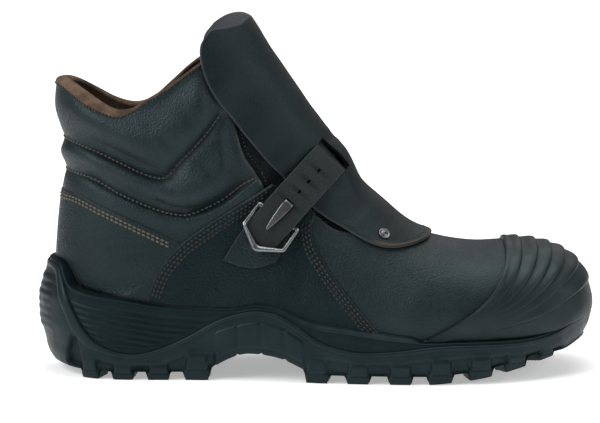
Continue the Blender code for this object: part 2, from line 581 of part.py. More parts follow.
def sole_outline():
    """Plan points and outward directions of the sole at the stations: heel, outer side, toe, inner side."""
    table = np.array(SOLE_OUTLINE, float)
    ring = np.concatenate([
        [[0.0, 0.0]], np.column_stack([table[:, 0], -table[:, 1]]), [[SOLE_LENGTH, TOE_Y]],
        np.column_stack([table[::-1, 0], table[::-1, 2]]),
    ])
    wrapped = np.concatenate([ring[-3:], ring, ring[:4]])
    steps = np.concatenate([[0], np.cumsum(np.sqrt(np.linalg.norm(np.diff(wrapped, axis=0), axis=1)))])
    path = np.column_stack([steps, wrapped])
    toe = len(table) + 1
    places = []
    for first, last in ((3, 3 + toe), (3 + len(ring), 3 + toe)):
        fine = np.linspace(steps[first], steps[last], 2000)
        points = curve(path, fine, steady=False)
        xs = np.maximum.accumulate(points[:, 0])
        at = np.interp(SOLE_X, xs + np.arange(2000) * 1e-9, fine)
        at[0], at[-1] = steps[first], steps[last]
        direction = curve(path, at + 0.02, False) - curve(path, at - 0.02, False)
        direction *= 1 if last > first else -1
        places.append((curve(path, at, False), direction))
    outer, inner = places
    loop = np.concatenate([outer[0], inner[0][-2:0:-1]])
    heading = np.concatenate([outer[1], inner[1][-2:0:-1]])
    outward = np.column_stack([heading[:, 1], -heading[:, 0]])
    outward /= np.linalg.norm(outward, axis=1, keepdims=True)
    flip = np.sign(np.sum(outward * (loop - loop.mean(axis=0)), axis=1))
    return loop, outward * flip[:, None]


def wall_inset(x, z):
    """How far the sole's side stands inside the outline at a height; the heel fades into the side."""
    heel = 1 - fade(x, *HEEL_REACH)
    under = curve(UNDERSIDE, x)[..., 1]
    side_part = curve(SIDE_INSET, np.maximum(z - under + 4.5, 0))[..., 0]
    return heel * curve(HEEL_INSET, z)[..., 0] + (1 - heel) * side_part


def sole_ring(loop, outward, z, extra=0.0):
    """Ring of the sole's side at heights z, moved outward by extra."""
    shift = extra - wall_inset(loop[:, 0], z)
    plan = loop + outward * np.broadcast_to(shift, len(loop))[:, None]
    return np.column_stack([plan, np.broadcast_to(z, len(loop))])


def loft_sole(name, rings, group, material):
    """Closed solid through rings round the sole; the first and last ring are closed by strips across."""
    count = len(rings[0])
    half = count // 2
    faces = grid_faces(len(rings), count, closed=True)
    top = (len(rings) - 1) * count
    for start in (0, top):
        for k in range(half):
            strip = (start + k, start + k + 1, start + (count - k - 1) % count, start + (count - k) % count)
            faces.append(tuple(dict.fromkeys(strip)))
    obj = mesh_object(name, np.concatenate(rings), halved(faces), group, material)
    tidy_mesh(obj)
    return obj


def wall_frame(loop, outward, x, side):
    """Plan point, outward direction and forward direction of the sole's outline at a station x."""
    half = len(SOLE_X)
    if side < 0:
        stations, points, normals = loop[:half, 0], loop[:half], outward[:half]
    else:
        order = np.concatenate([[0], np.arange(len(loop) - 1, half - 2, -1)])
        stations, points, normals = loop[order, 0], loop[order], outward[order]
    point = np.array([np.interp(x, stations, points[:, k]) for k in range(2)])
    normal = np.array([np.interp(x, stations, normals[:, k]) for k in range(2)])
    normal /= np.linalg.norm(normal)
    forward = np.array([-normal[1], normal[0]])
    return point, normal, forward * np.sign(forward[0] if abs(forward[0]) > 1e-6 else 1.0)


def wall_block(loop, outward, x, side, width, profile, spread=1.2, slopes=(0.0, 0.0)):
    """Block on the sole's side: profile gives (outward, z, is_tip) corners; the tip is narrower.

    slopes gives the rise along x of the root's and of the tip's corners.
    """
    point, normal, forward = wall_frame(loop, outward, x, side)
    ends = []
    for sign in (-1, 1):
        ring = []
        for out, z, tip in profile:
            along = sign * (width / 2 + (0 if tip else spread))
            plan = point + normal * out + forward * along
            ring.append((plan[0], plan[1], max(0.0, z + slopes[tip] * along * forward[0])))
        ends.append(ring)
    corners = len(profile)
    faces = [tuple(range(corners)), tuple(range(2 * corners - 1, corners - 1, -1))]
    for k in range(corners):
        m = (k + 1) % corners
        faces.append((k, corners + k, corners + m, m))
    return np.array(ends), faces


def lug_profile(x, inner_x, depth, top):
    """Corners of a lug across the sole: tip on the floor, outer face up the side, root in the tray."""
    tip, under = curve(UNDERSIDE, x)
    inner_tip, inner_under = np.minimum(curve(UNDERSIDE, inner_x), (tip, under))
    low = float(wall_inset(np.array(x), np.array(tip + 1.0)))
    high = float(wall_inset(np.array(x), np.array(top)))
    return ((-depth, inner_tip, True), (-low - 0.6, tip, True),
            (LUG_PROUD - high, tip + 0.55 * (top - tip), True),
            (LUG_PROUD - high, top, False), (-high - 2.4, top, False), (-high - 2.6, under + 1.6, False),
            (-depth - 1.5, inner_under + 1.6, False))


def wall_bar(loop, outward, stations, side, z_of, half_height, proud):
    """Bar along the sole's side between stations, slanted above and below."""
    sections = []
    for x in stations:
        point, normal, _ = wall_frame(loop, outward, x, side)
        z = float(z_of(x))
        inset = float(wall_inset(np.array(float(point[0])), np.array(z)))
        ring = []
        for out, up in ((-2.2, -half_height), (proud, -half_height * 0.35), (proud, half_height * 0.5),
                        (-2.2, half_height)):
            plan = point + normal * (out - inset)
            ring.append((plan[0], plan[1], z + up))
        sections.append(ring)
    return np.array(sections)


def bar_shape(sections):
    count, corners = sections.shape[:2]
    faces = grid_faces(count, corners, closed=True)
    faces.append(tuple(range(corners)))
    faces.append(tuple((count - 1) * corners + k for k in reversed(range(corners))))
    return sections.reshape(-1, 3), faces


def make_outsole(groups, material, envelope):
    parts, cutters = groups
    loop, outward = sole_outline()
    x = loop[:, 0]
    under = curve(UNDERSIDE, x)[:, 1]
    wave = curve(SOLE_LINES, x)[:, 0]
    floor = under + TRAY_FLOOR
    rings = [
        sole_ring(loop, outward, floor, -TRAY_WALL),
        sole_ring(loop, outward, wave, -TRAY_WALL),
        sole_ring(loop, outward, wave),
        sole_ring(loop, outward, wave - 0.9, BEAD),
        sole_ring(loop, outward, wave - 3.0, BEAD),
        sole_ring(loop, outward, wave - 4.0),
        sole_ring(loop, outward, under + 0.55 * (wave - 4.0 - under)),
        sole_ring(loop, outward, under),
    ]
    obj = loft_sole("outsole", rings, parts, material)
    shapes = []
    for station, width in LUGS:
        ends = station + width * np.array([-0.7, 0.7])
        top = curve(SOLE_LINES, ends)[:, 0].min() - 5.2
        tip_slope, root_slope = (curve(UNDERSIDE, ends)[1] - curve(UNDERSIDE, ends)[0]) / (ends[1] - ends[0])
        for side in (-1, 1):
            point, normal, _ = wall_frame(loop, outward, station, side)
            inner_x = point[0] - normal[0] * LUG_INWARD - width / 2
            profile = lug_profile(station, inner_x, LUG_INWARD, min(top, 19.0 + station / 60))
            slopes = (root_slope, tip_slope)
            shapes.append(wall_block(loop, outward, station, side, width, profile, slopes=slopes))
    for station, width in WAIST_PANELS:
        low = float(curve(UNDERSIDE, station)[1]) + 3.0
        top = float(curve(SOLE_LINES, station)[0]) - 6.0
        profile = ((-2.5, low, False), (0.8, low + 1, True), (0.8, top - 1, True), (-2.5, top, False))
        for side in (-1, 1):
            shapes.append(wall_block(loop, outward, station, side, width, profile, 0.6))
    for at_x, at_y, long, wide in MIDDLE_LUGS:
        tip = np.interp(at_x, [r[0] for r in UNDERSIDE], [r[1] for r in UNDERSIDE])
        under_here = float(curve(UNDERSIDE, at_x)[1])
        box = [[(at_x + sx * (long / 2 + grow), at_y + sy * (wide / 2 + grow), z)
                for sx, sy in ((-1, -1), (1, -1), (1, 1), (-1, 1))]
               for grow, z in ((0.0, tip), (1.0, under_here + 2.0))]
        shapes.append(bar_shape(np.array(box)))
    for z, used in HEEL_STEPS:
        half = HEEL_STEP_X[1:used]
        both = [(-1, s) for s in reversed(half)] + [(-1, 0)] + [(1, s) for s in half]
        pieces = [wall_bar(loop, outward, [s], side, lambda _, z=z: z, 3.2, 1.0)[0] for side, s in both]
        shapes.append(bar_shape(np.array(pieces)))
    points, faces = join_points(shapes)
    lugs = mesh_object("outsole_lugs", points, faces, cutters)
    tidy_mesh(lugs)
    combine(obj, lugs, "UNION")
    combine(obj, envelope, "DIFFERENCE")
    return obj


def make_midsole(groups, material, envelope):
    parts, cutters = groups
    loop, outward = sole_outline()
    x = loop[:, 0]
    under = curve(UNDERSIDE, x)[:, 1]
    wave, top = curve(SOLE_LINES, x).T
    floor = under + TRAY_FLOOR + GAP
    wave = wave + 1.5 * GAP
    rings = [
        sole_ring(loop, outward, floor, -TRAY_WALL - 1.5 * GAP),
        sole_ring(loop, outward, wave, -TRAY_WALL - 1.5 * GAP),
        sole_ring(loop, outward, wave, -0.3),
        sole_ring(loop, outward, top, -0.5),
        sole_ring(loop, outward, top, -10.0),
    ]
    obj = loft_sole("midsole", rings, parts, material)
    shapes = []
    for drop, first, last in PANEL_RIBS:
        stations = np.linspace(first, last, 5)
        for side in (-1, 1):
            bar = wall_bar(loop, outward, stations, side,
                           lambda s, d=drop: curve(SOLE_LINES, s)[1] - d, 1.9, 1.0)
            shapes.append(bar_shape(bar))
    points, faces = join_points(shapes)
    ribs = mesh_object("midsole_ribs", points, faces, cutters)
    tidy_mesh(ribs)
    combine(obj, ribs, "UNION")
    combine(obj, envelope, "DIFFERENCE")
    return obj


def cap_base(x):
    """Height of the toe cap's lower edge: just above the sole's rim, which lies ahead at the toe."""
    return curve(SOLE_LINES, x + 6.5 * fade(x, 225, 295))[..., 1] + GAP + 0.9


def make_toe_cap(group, material, seat):
    """Plates from the ridge down to a root on each side; each plate rises to a drop at its front edge."""
    rows, lifts = [], []
    for k in range(len(CAP_PLATES) - 1):
        back, front = CAP_PLATES[k], CAP_PLATES[k + 1]
        start = back - (CAP_STEP if k else 0.0)
        share = np.linspace(0, 1, 2 + int((start - front) / 0.6))
        rows += list(start + (front - start) * share)
        lifts += list(share)
    rows = np.array(rows)
    lifts = np.array(lifts)
    t = 1 - CAP_REACH * np.linspace(1, 0, CAP_STEPS) ** 1.7
    front = section(rows)
    share = (CAP_PLATES[0] - rows) / (CAP_PLATES[0] - CAP_PLATES[-1])
    bend = CAP_BEND[0] + (CAP_BEND[1] - CAP_BEND[0]) * share
    x = CAP_ROOT_X + (front["front_x"] - CAP_ROOT_X)[:, None] * (1 - (1 - t) ** bend[:, None])
    rise = front["front_z"] - cap_base(front["front_x"])
    z = cap_base(x) + rise[:, None] * np.sin(t * math.pi / 2)
    u, h = find_skin(x, z)
    h[:, -1] = 1.0
    u[:, -1] = rows
    top = curve(CAP_LIFT, x)[..., 0]
    u, h, top = (np.concatenate([part, part[:, -2::-1]], axis=1) for part in (u, h, top))
    side = np.where(np.arange(u.shape[1]) < CAP_STEPS, -1.0, 1.0) * np.ones_like(u)
    fading = np.concatenate([fade(t, 0.2, 0.6), fade(t, 0.2, 0.6)[-2::-1]])
    lift = top - CAP_RISE * (0.5 + (0.5 - lifts[:, None]) * fading)
    outer = raised(u, h, side, lift)
    inner = raised(u, h, side, np.full_like(u, 2 * SUNK))
    for layer in (outer, inner):
        layer[..., 2] = np.maximum(layer[..., 2], curve(SOLE_LINES, layer[..., 0])[..., 1] + 1.5 * GAP)
    obj = slab("toe_cap", outer, inner, group, material)
    combine(obj, seat, "DIFFERENCE")
    return obj


def ridge_net(table, stations, steps):
    """Section numbers, shares, sides and distances from the ridge of a piece that straddles the ridge.

    The table's columns are the section number on the ridge and the place of the piece's edge from the side.
    """
    numbered = np.column_stack([np.arange(len(table)), np.array(table, float)])
    columns = curve(numbered, stations, steady=False)
    ridge, edge_x, edge_z = columns[:, 0], columns[:, 1], columns[:, 2]
    front = section(ridge)
    reach = np.linspace(1, 0, steps + 1) ** 2
    x = front["front_x"][:, None] + (edge_x - front["front_x"])[:, None] * reach
    z = front["front_z"][:, None] + (edge_z - front["front_z"])[:, None] * reach
    u, h = find_skin(x, z)
    u[:, -1] = ridge
    h[:, -1] = 1.0
    away = np.hypot(x - x[:, -1:], z - z[:, -1:])
    u, h, away = (np.concatenate([half, half[:, -2::-1]], axis=1) for half in (u, h, away))
    side = np.where(np.arange(u.shape[1]) < steps + 1, -1.0, 1.0) * np.ones_like(u)
    return u, h, side, away, columns


def strap_frame(away, side):
    """Skin point, outward, onward and sideways directions of the strap's path away from the ridge."""
    ridge = section(STRAP_RIDGE)
    x = ridge["front_x"] - STRAP_DIRECTION[0] * away
    z = ridge["front_z"] - STRAP_DIRECTION[1] * away
    u, h = find_skin(x, z)
    h = np.where(np.asarray(away) < 1e-6, 1.0, h)
    side = np.asarray(side, float) * np.ones_like(u)
    point = skin(u, h, side)
    normal = skin_normal(u, h, side)
    across = np.array([STRAP_DIRECTION[1], 0.0, -STRAP_DIRECTION[0]])
    across = across - normal * np.sum(normal * across, axis=-1, keepdims=True)
    across /= np.linalg.norm(across, axis=-1, keepdims=True)
    return point, normal, np.cross(across, normal), across


def mesh_box(name, size, group):
    """Box about its own middle."""
    bpy.ops.mesh.primitive_cube_add(size=1)
    obj = bpy.context.active_object
    obj.name = name
    for users in list(obj.users_collection):
        users.objects.unlink(obj)
    group.objects.link(obj)
    obj.data.transform(Matrix.Diagonal((size[0] * MM, size[1] * MM, size[2] * MM, 1)))
    return obj


def make_flap(groups, material):
    parts, cutters = groups
    stations = np.linspace(0, len(FLAP) - 1, 18)
    u, h, side, away, columns = ridge_net(FLAP, stations, FLAP_STEPS)
    full = np.broadcast_to(columns[:, 3:4], u.shape)
    over_strap = (fade(stations, 3.4, 4.6) * (1 - fade(stations, 7.4, 9)))[:, None] * fade(away, 3, 15)
    beside = np.maximum(FLAP_SIDE, np.minimum(full, 1.4)) + np.where(side < 0, 0.0, (FLAP_OVER - FLAP_SIDE) * over_strap)
    lift = beside + (full - beside) * (1 - fade(away, 3, 11))
    obj = slab("flap", raised(u, h, side, lift + FLAP_THICK), raised(u, h, side, lift), parts, material)
    point, normal, onward, across = strap_frame(SLOT[0], -1)
    cutter = mesh_box("flap_slot", (SLOT[1], SLOT[2], 24.0), cutters)
    place(cutter, point + normal * 4.0, (onward, across, np.cross(onward, across)))
    combine(obj, cutter, "DIFFERENCE")
    return obj


def make_strap(groups, material):
    parts, cutters = groups
    way = np.linspace(-1, 1, STRAP_STEPS)
    reach = np.where(way < 0, STRAP_OUTER[-1][0], STRAP_INNER[-1][0])
    away = reach * np.abs(way) ** 1.6
    side = np.where(way < 0, -1.0, 1.0)
    point, normal, _, across = strap_frame(away, side)
    lift = np.where(way < 0, curve(STRAP_OUTER, away)[:, 0], curve(STRAP_INNER, away)[:, 0])
    tapered = np.where(way < 0, STRAP_TAPER[1] * np.maximum(away - STRAP_TAPER[0], 0), 0.0)
    half = (STRAP_WIDTH / 2 - tapered)[:, None]
    sections = []
    for level, edge in ((0, -1), (0, 1), (STRAP_THICK, 1), (STRAP_THICK, -1)):
        sections.append(point + normal * (lift + level)[:, None] + across * edge * half)
    obj = tube("strap", np.stack(sections, axis=1), parts, material)
    point, normal, onward, across = strap_frame(PRONG_AT, -1)
    hole = mesh_box("strap_hole", (4.0, PRONG[0][2] + 1.0, 14.0), cutters)
    place(hole, point + normal * 5.0, (onward, across, np.cross(onward, across)))
    combine(obj, hole, "DIFFERENCE")
    return obj


def buckle_axes():
    """Middle and axes of the buckle: along to its pointed end, which is turned up, across it, and out."""
    point, normal, onward, across = (np.asarray(a, float) for a in strap_frame(BUCKLE_AT, -1))
    turn, tilt = math.radians(BUCKLE_TURN), math.radians(BUCKLE_TILT)
    middle = point + onward * BUCKLE_MIDDLE[0] + across * BUCKLE_MIDDLE[1] + normal * BUCKLE_LIFT
    ahead = onward * math.cos(turn) + across * math.sin(turn)
    across = across * math.cos(turn) - onward * math.sin(turn)
    along = ahead * math.cos(tilt) + normal * math.sin(tilt)
    out = np.cross(along, across)
    out *= np.sign(np.dot(out, normal))
    return middle, along, np.cross(out, along), out


def make_buckle(group, metal):
    middle, along, across, out = buckle_axes()
    shape = bpy.data.curves.new("buckle_frame", "CURVE")
    shape.dimensions = "2D"
    shape.fill_mode = "BOTH"
    shape.extrude = (BUCKLE_THICK / 2 - 0.5) * MM
    shape.bevel_depth = 0.5 * MM
    shape.bevel_resolution = 0
    shape.offset = -0.5 * MM
    for ring in (BUCKLE_OUTLINE, BUCKLE_HOLE):
        line = shape.splines.new("POLY")
        line.points.add(len(ring) - 1)
        for corner, (a, c) in zip(line.points, ring):
            corner.co = (a * MM, c * MM, 0, 1)
        line.use_cyclic_u = True
    shape.materials.append(metal)
    frame = bpy.data.objects.new("buckle_frame", shape)
    group.objects.link(frame)
    place(frame, middle, (along, across, out))
    return frame


def make_prong(group, metal):
    """Flat prong: a foot through the strap's hole to the hidden bar, a blade over the strap to its tip."""
    point, normal, onward, across = (np.asarray(a, float) for a in strap_frame(PRONG_AT, -1))
    rings = []
    for edge in (-0.5, 0.5):
        rings.append([point + onward * a + normal * n + across * edge * wide for a, n, wide in PRONG])
    return tube("buckle_prong", np.array(rings), group, metal)


def make_tongue(group, material):
    u, h, side, _, _ = ridge_net(TONGUE, np.linspace(0, len(TONGUE) - 1, 12), 4)
    depth = np.full_like(u, -TONGUE_DEPTH)
    outer = raised(u, h, side, depth)
    inner = raised(u, h, side, depth - TONGUE_THICK)
    return slab("tongue", outer, inner, group, material)


def make_insole(group, material):
    """Footbed inside the feather edge, from the toe to the heel."""
    u = np.concatenate([np.linspace(0, 12, 11), [12.5, 13.0, 13.4]])
    row = section(u)
    foot = np.clip(row["foot"], 0, 1)
    margin = row["wall"] + 1.6 + 7 * fade(u, 12, 13.4)
    outer = row["centre"] - row["outer"] * foot + margin
    inner = row["centre"] + row["inner"] * foot - margin
    share = np.linspace(0, 1, 3)
    y = outer[:, None] + (inner - outer)[:, None] * share
    x = np.broadcast_to(row["back_x"][:, None], y.shape)
    cup = 1.5 * (2 * share - 1) ** 2
    bottom = row["back_z"][:, None] + GAP + 0.6 * cup
    top = row["back_z"][:, None] + INSOLE_THICK + cup
    low = np.stack(np.broadcast_arrays(x, y, bottom), axis=-1)
    high = np.stack(np.broadcast_arrays(x, y, top), axis=-1)
    return slab("insole", high, low, group, material)


def make_rivet(name, side, group, metal):
    """Domed head turned from its half profile, on the flap beside the vamp."""
    u, h = find_skin(*FLAP_RIVET)
    side = np.asarray(float(side))
    point = skin(u, h, side)
    out = skin_normal(u, h, side)
    lift = 1.3 + FLAP_THICK + GAP
    profile = ((0.0, 0.0), (RIVET_RADIUS, 0.0), (RIVET_RADIUS, 0.4), (RIVET_RADIUS * 0.8, 1.0),
               (RIVET_RADIUS * 0.45, 1.4), (0.0, 1.5))
    points = [(r, 0.0, z) for r, z in profile]
    edges = [(k, k + 1) for k in range(len(profile) - 1)]
    mesh = bpy.data.meshes.new(name)
    mesh.from_pydata((np.array(points) * MM).tolist(), edges, [])
    mesh.materials.append(metal)
    obj = bpy.data.objects.new(name, mesh)
    group.objects.link(obj)
    turn = obj.modifiers.new("turn", "SCREW")
    turn.steps = 10
    turn.render_steps = 10
    turn.use_merge_vertices = True
    turn.merge_threshold = 0.00001
    turn.use_normal_calculate = True
    first = np.cross(out, [0, 0, 1.0])
    first /= np.linalg.norm(first)
    place(obj, point + out * lift, (first, np.cross(out, first), out))
    return obj


def collection(name):
    group = bpy.data.collections.new(name)
    bpy.context.scene.collection.children.link(group)
    return group


def centre_on_floor(parts, cutters):
    """Parent everything to one empty that puts the shoe's middle over the origin, lugs on the floor."""
    bpy.context.view_layer.update()
    graph = bpy.context.evaluated_depsgraph_get()
    lows, highs = [], []
    for obj in parts.objects:
        shown = obj.evaluated_get(graph)
        mesh = shown.to_mesh()
        count = len(mesh.vertices)
        points = np.empty(count * 3)
        mesh.vertices.foreach_get("co", points)
        frame = np.array(obj.matrix_world)
        points = points.reshape(-1, 3) @ frame[:3, :3].T + frame[:3, 3]
        lows.append(points.min(axis=0))
        highs.append(points.max(axis=0))
        shown.to_mesh_clear()
    low = np.min(lows, axis=0)
    high = np.max(highs, axis=0)
    root = bpy.data.objects.new("shoe", None)
    parts.objects.link(root)
    root.location = (-(low[0] + high[0]) / 2, -(low[1] + high[1]) / 2, -low[2])
    for obj in list(parts.objects) + list(cutters.objects):
        if obj is not root:
            obj.parent = root
    for obj in cutters.objects:
        obj.display_type = "WIRE"
        obj.hide_render = True


def main():
    for obj in list(bpy.data.objects):
        bpy.data.objects.remove(obj)
    parts = collection("safety_shoe")
    cutters = collection("cutters")
    groups = (parts, cutters)
    rubber = principled("outsole_rubber", SOLE_BLACK, 0.55)
    foam = principled("midsole_foam", SOLE_BLACK, 0.5)
    bumper = principled("toe_cap_rubber", SOLE_BLACK, 0.45)
    leather = principled("upper_leather", LEATHER_BLACK, 0.5)
    quarter = principled("quarter_leather", LEATHER_BLACK, 0.48)
    counter = principled("counter_leather", LEATHER_BLACK, 0.48)
    cover = principled("flap_leather", FLAP_BLACK, 0.42)
    band = principled("strap_leather", FLAP_BLACK, 0.55)
    lining = principled("tongue_leather", LEATHER_BLACK, 0.6)
    bed = principled("insole_felt", LINING_BROWN, 0.9)
    nickel = principled("buckle_nickel", STEEL, 0.28, 1.0)
    prong_steel = principled("prong_steel", STEEL, 0.3, 1.0)
    rivet_metal = principled("rivet_nickel", (0.3, 0.29, 0.28, 1.0), 0.35, 1.0)

    envelope = make_envelope(cutters)
    make_outsole(groups, rubber, envelope)
    make_midsole(groups, foam, envelope)
    make_toe_cap(parts, bumper, envelope)
    make_insole(parts, bed)
    make_upper(parts, leather)
    make_tongue(parts, lining)
    make_quarter("quarter_outer", -1, parts, quarter, envelope)
    make_quarter("quarter_inner", 1, parts, quarter, envelope)
    make_counter(parts, counter, envelope)
    make_flap(groups, cover)
    make_rivet("flap_rivet_outer", -1, parts, rivet_metal)
    make_rivet("flap_rivet_inner", 1, parts, rivet_metal)
    make_strap(groups, band)
    tab_grid = patch(spaced(TAB_BOTTOM, 6), spaced(TAB_TOP, 6), spaced(TAB_REAR, 6), spaced(TAB_FRONT, 6))
    make_overlay("buckle_tab", tab_grid, -1, 2 * GAP + QUARTER_THICK, TAB_THICK, parts, band)
    make_buckle(parts, nickel)
    make_prong(parts, prong_steel)
    centre_on_floor(parts, cutters)


main()
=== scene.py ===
import math

import bmesh
import bpy
import numpy as np
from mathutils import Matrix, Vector


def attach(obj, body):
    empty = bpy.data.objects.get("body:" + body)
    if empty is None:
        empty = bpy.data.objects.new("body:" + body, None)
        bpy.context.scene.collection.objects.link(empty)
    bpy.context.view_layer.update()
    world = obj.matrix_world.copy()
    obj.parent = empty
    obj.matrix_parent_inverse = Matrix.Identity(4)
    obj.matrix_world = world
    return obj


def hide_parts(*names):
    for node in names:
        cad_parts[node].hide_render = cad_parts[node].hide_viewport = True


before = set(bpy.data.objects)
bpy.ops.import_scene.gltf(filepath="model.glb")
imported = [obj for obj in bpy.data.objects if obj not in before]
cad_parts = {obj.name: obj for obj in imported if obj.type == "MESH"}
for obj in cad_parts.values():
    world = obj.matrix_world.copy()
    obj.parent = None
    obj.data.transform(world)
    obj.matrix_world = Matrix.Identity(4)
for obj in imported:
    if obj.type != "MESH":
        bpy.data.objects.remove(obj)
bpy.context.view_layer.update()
print("frame loaded:", len(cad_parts), "nodes")

# sizes below are millimetres of the shoe: x from the heel's back to the toe, y negative on the buckle side
mm = 0.001
tiny = 1e-6  # keeps divisors away from zero
shoeShift = np.array([-154.666, 0.385, 0.0])

upperForm = {
    # sections from toe to collar: ends of the back and the front edge, half widths, share of the widest place and of
    # the width at the foot, power of the crown, middle, sag of the chord, skew of the sag, thickness of the wall
    "columns": ("backX", "backZ", "frontX", "frontZ", "outer", "inner", "belly", "foot", "crown", "centre",
                "sag", "skew", "wall"),
    "rows": np.array((
        (287, 25.0, 303.0, 28.0, 31.0, 31.0, 0.03, 0.99, 2.10, 5.0, 0, 1.0, 2.6),
        (281, 23.5, 304.5, 41.0, 37.0, 36.5, 0.10, 0.97, 2.15, 5.0, 0, 1.0, 2.6),
        (274, 22.0, 301.0, 54.0, 41.0, 40.0, 0.16, 0.95, 2.20, 4.6, 0, 1.0, 2.6),
        (266, 20.5, 292.0, 64.0, 44.5, 43.5, 0.20, 0.95, 2.25, 4.2, 0, 1.0, 2.6),
        (256, 19.5, 279.0, 69.5, 47.5, 46.5, 0.23, 0.95, 2.25, 3.8, 0, 1.0, 2.6),
        (244, 18.5, 262.0, 71.5, 50.5, 48.5, 0.25, 0.94, 2.20, 3.2, 0, 1.0, 2.6),
        (228, 17.5, 244.0, 71.0, 52.0, 49.5, 0.26, 0.93, 2.15, 2.6, 0, 1.0, 2.6),
        (208, 17.0, 226.0, 73.5, 52.5, 48.5, 0.27, 0.92, 2.10, 2.0, 0, 1.0, 2.6),
        (186, 17.0, 208.0, 79.4, 50.5, 45.0, 0.28, 0.92, 2.05, 1.6, 0, 1.0, 2.6),
        (160, 19.0, 191.0, 92.5, 46.0, 40.5, 0.30, 0.92, 2.00, 1.2, 0, 1.0, 2.6),
        (128, 22.0, 176.0, 105.0, 41.5, 37.0, 0.32, 0.92, 2.00, 0.8, 0, 1.0, 2.6),
        (92, 24.5, 167.0, 120.0, 38.5, 36.0, 0.35, 0.93, 2.00, 0.5, 0, 1.0, 2.6),
        (54, 26.0, 164.5, 124.5, 37.0, 36.0, 0.38, 0.93, 2.00, 0.2, 2, 1.0, 2.8),
        (26, 27.0, 163.2, 127.2, 36.5, 36.0, 0.40, 0.82, 2.00, 0.0, 4, 1.0, 3.0),
        (17.5, 28.6, 162.6, 128.4, 36.5, 36.0, 0.41, 0.40, 2.00, 0.0, 6, 1.0, 3.2),
        (10.5, 34.0, 162.0, 129.6, 36.5, 36.0, 0.42, 0.00, 2.00, 0.0, 8, 1.0, 3.4),
        (9.5, 58.0, 161.0, 131.5, 36.5, 36.0, 0.42, 0.00, 2.00, 0.0, 17, 1.0, 3.6),
        (11.0, 82.0, 160.0, 133.2, 36.5, 36.0, 0.43, 0.00, 2.00, 0.0, 25, 1.0, 4.0),
        (13.3, 102.0, 158.7, 135.0, 36.0, 35.5, 0.44, 0.00, 2.00, 0.0, 29.5, 1.0, 5.0),
        (15.2, 114.0, 157.0, 137.0, 34.5, 34.0, 0.45, 0.00, 2.00, 0.0, 30, 1.0, 5.0),
        (12.6, 122.5, 146.0, 152.5, 37.0, 36.5, 0.45, 0.00, 2.00, 0.0, 35, 1.0, 8.0),
        (14.2, 131.0, 134.0, 169.5, 35.0, 34.5, 0.46, 0.00, 2.00, 0.0, 36, 1.0, 6.0),
        (9.8, 147.0, 128.0, 178.0, 37.5, 37.0, 0.46, 0.00, 2.00, 0.0, 30, 0.85, 9.0),
        (10.6, 163.0, 124.0, 183.5, 34.5, 34.0, 0.46, 0.00, 2.00, 0.0, 22.7, 0.70, 6.5),
        (11.0, 184.0, 113.0, 198.0, 32.0, 32.0, 0.46, 0.00, 2.00, 0.0, 10, 0.70, 3.0),
    )),
    "sagPower": 2.3, "throatRow": 8.9, "heelBack": 15, "collar": 23,
    "edgeWall": 2.8, "edgeWallShare": (0.46, 0.64), "paddedFrom": (6, 11),
    # section, share at which the leather ends beside the throat
    "throatEdge": ((0, 0.80), (8.9, 0.80), (9.4, 0.775), (10, 0.74), (11, 0.75), (13, 0.765), (16, 0.745),
                   (19.5, 0.725), (21, 0.745), (24, 0.75)),
    # share of the way to the throat, sections by which the outer and the inner rim rise
    "rimRise": ((0, -0.10, -0.12), (0.2, -0.08, -0.08), (0.345, -0.14, -0.14), (0.45, -0.07, -0.17),
                (0.57, 0.06, -0.12), (0.71, 0.09, 0.01), (0.85, 0.13, 0.11), (1, 0.13, 0.13)),
    "rimRiseFrom": 20, "rollHeight": 0.85,
    # share of the way to the throat, sections of the outside that the lining covers; below 0, turn of the roll that
    # the leather covers
    "liningEdge": ((0, 0.02), (0.075, 0.10), (0.2, 0.28), (0.3, 0.14), (0.42, 0.0), (0.5, -0.35), (0.6, -0.5),
                   (0.75, -0.3), (1, -0.1)),
}
skinSet = {
    "normalStep": (0.02, 0.004),  # section and share to either side of a point, for its normal
    "upStep": 0.05, "rowStep": 0.01,  # sections to either side for the way up, sections between added rows
    "net": (97, 41), "batch": 1500, "newtonSteps": 14, "probe": (0.01, -0.002), "stepLimit": (0.5, 0.1),
}
collar = upperForm["collar"]


def curveAt(table, at, steady=True):
    # cubic curve through the table's rows; steady keeps it between neighbouring values
    table = np.asarray(table, float)
    knots, values = table[:, 0], table[:, 1:]
    at = np.clip(np.asarray(at, float), knots[0], knots[-1])
    slopes = np.gradient(values, knots, axis=0)
    if steady:
        rises = np.diff(values, axis=0) / np.diff(knots)[:, None]
        before = np.concatenate([rises[:1], rises])
        after = np.concatenate([rises, rises[-1:]])
        limit = 2 * np.minimum(np.abs(before), np.abs(after))
        slopes = np.where(before * after > 0, np.sign(slopes) * np.minimum(np.abs(slopes), limit), 0.0)
    k = np.clip(np.searchsorted(knots, at, side="right") - 1, 0, len(knots) - 2)
    span = (knots[k + 1] - knots[k])[..., None]
    t = (at - knots[k])[..., None] / span
    start = (1 + 2 * t) * (1 - t) ** 2 * values[k] + t * (1 - t) ** 2 * span * slopes[k]
    end = t * t * (3 - 2 * t) * values[k + 1] + t * t * (t - 1) * span * slopes[k + 1]
    return start + end


def rowCurve(table, at):
    # curve through a table whose rows are numbered from 0
    return curveAt(np.column_stack([np.arange(len(table)), np.array(table, float)]), at, steady=False)


def fade(value, low, high):
    # 0 below low, 1 above high, smooth between
    t = np.clip((np.asarray(value, float) - low) / (high - low), 0, 1)
    return t * t * (3 - 2 * t)


def window(value, start, full, end, gone):
    # 0 before start and after gone, 1 from full to end
    return fade(value, start, full) * (1 - fade(value, end, gone))


def softBox(away, half, soft):
    # 1 within half of the middle, 0 beyond, smooth by soft to either side of the edge
    return 1 - fade(np.abs(away) - half, -soft, soft)


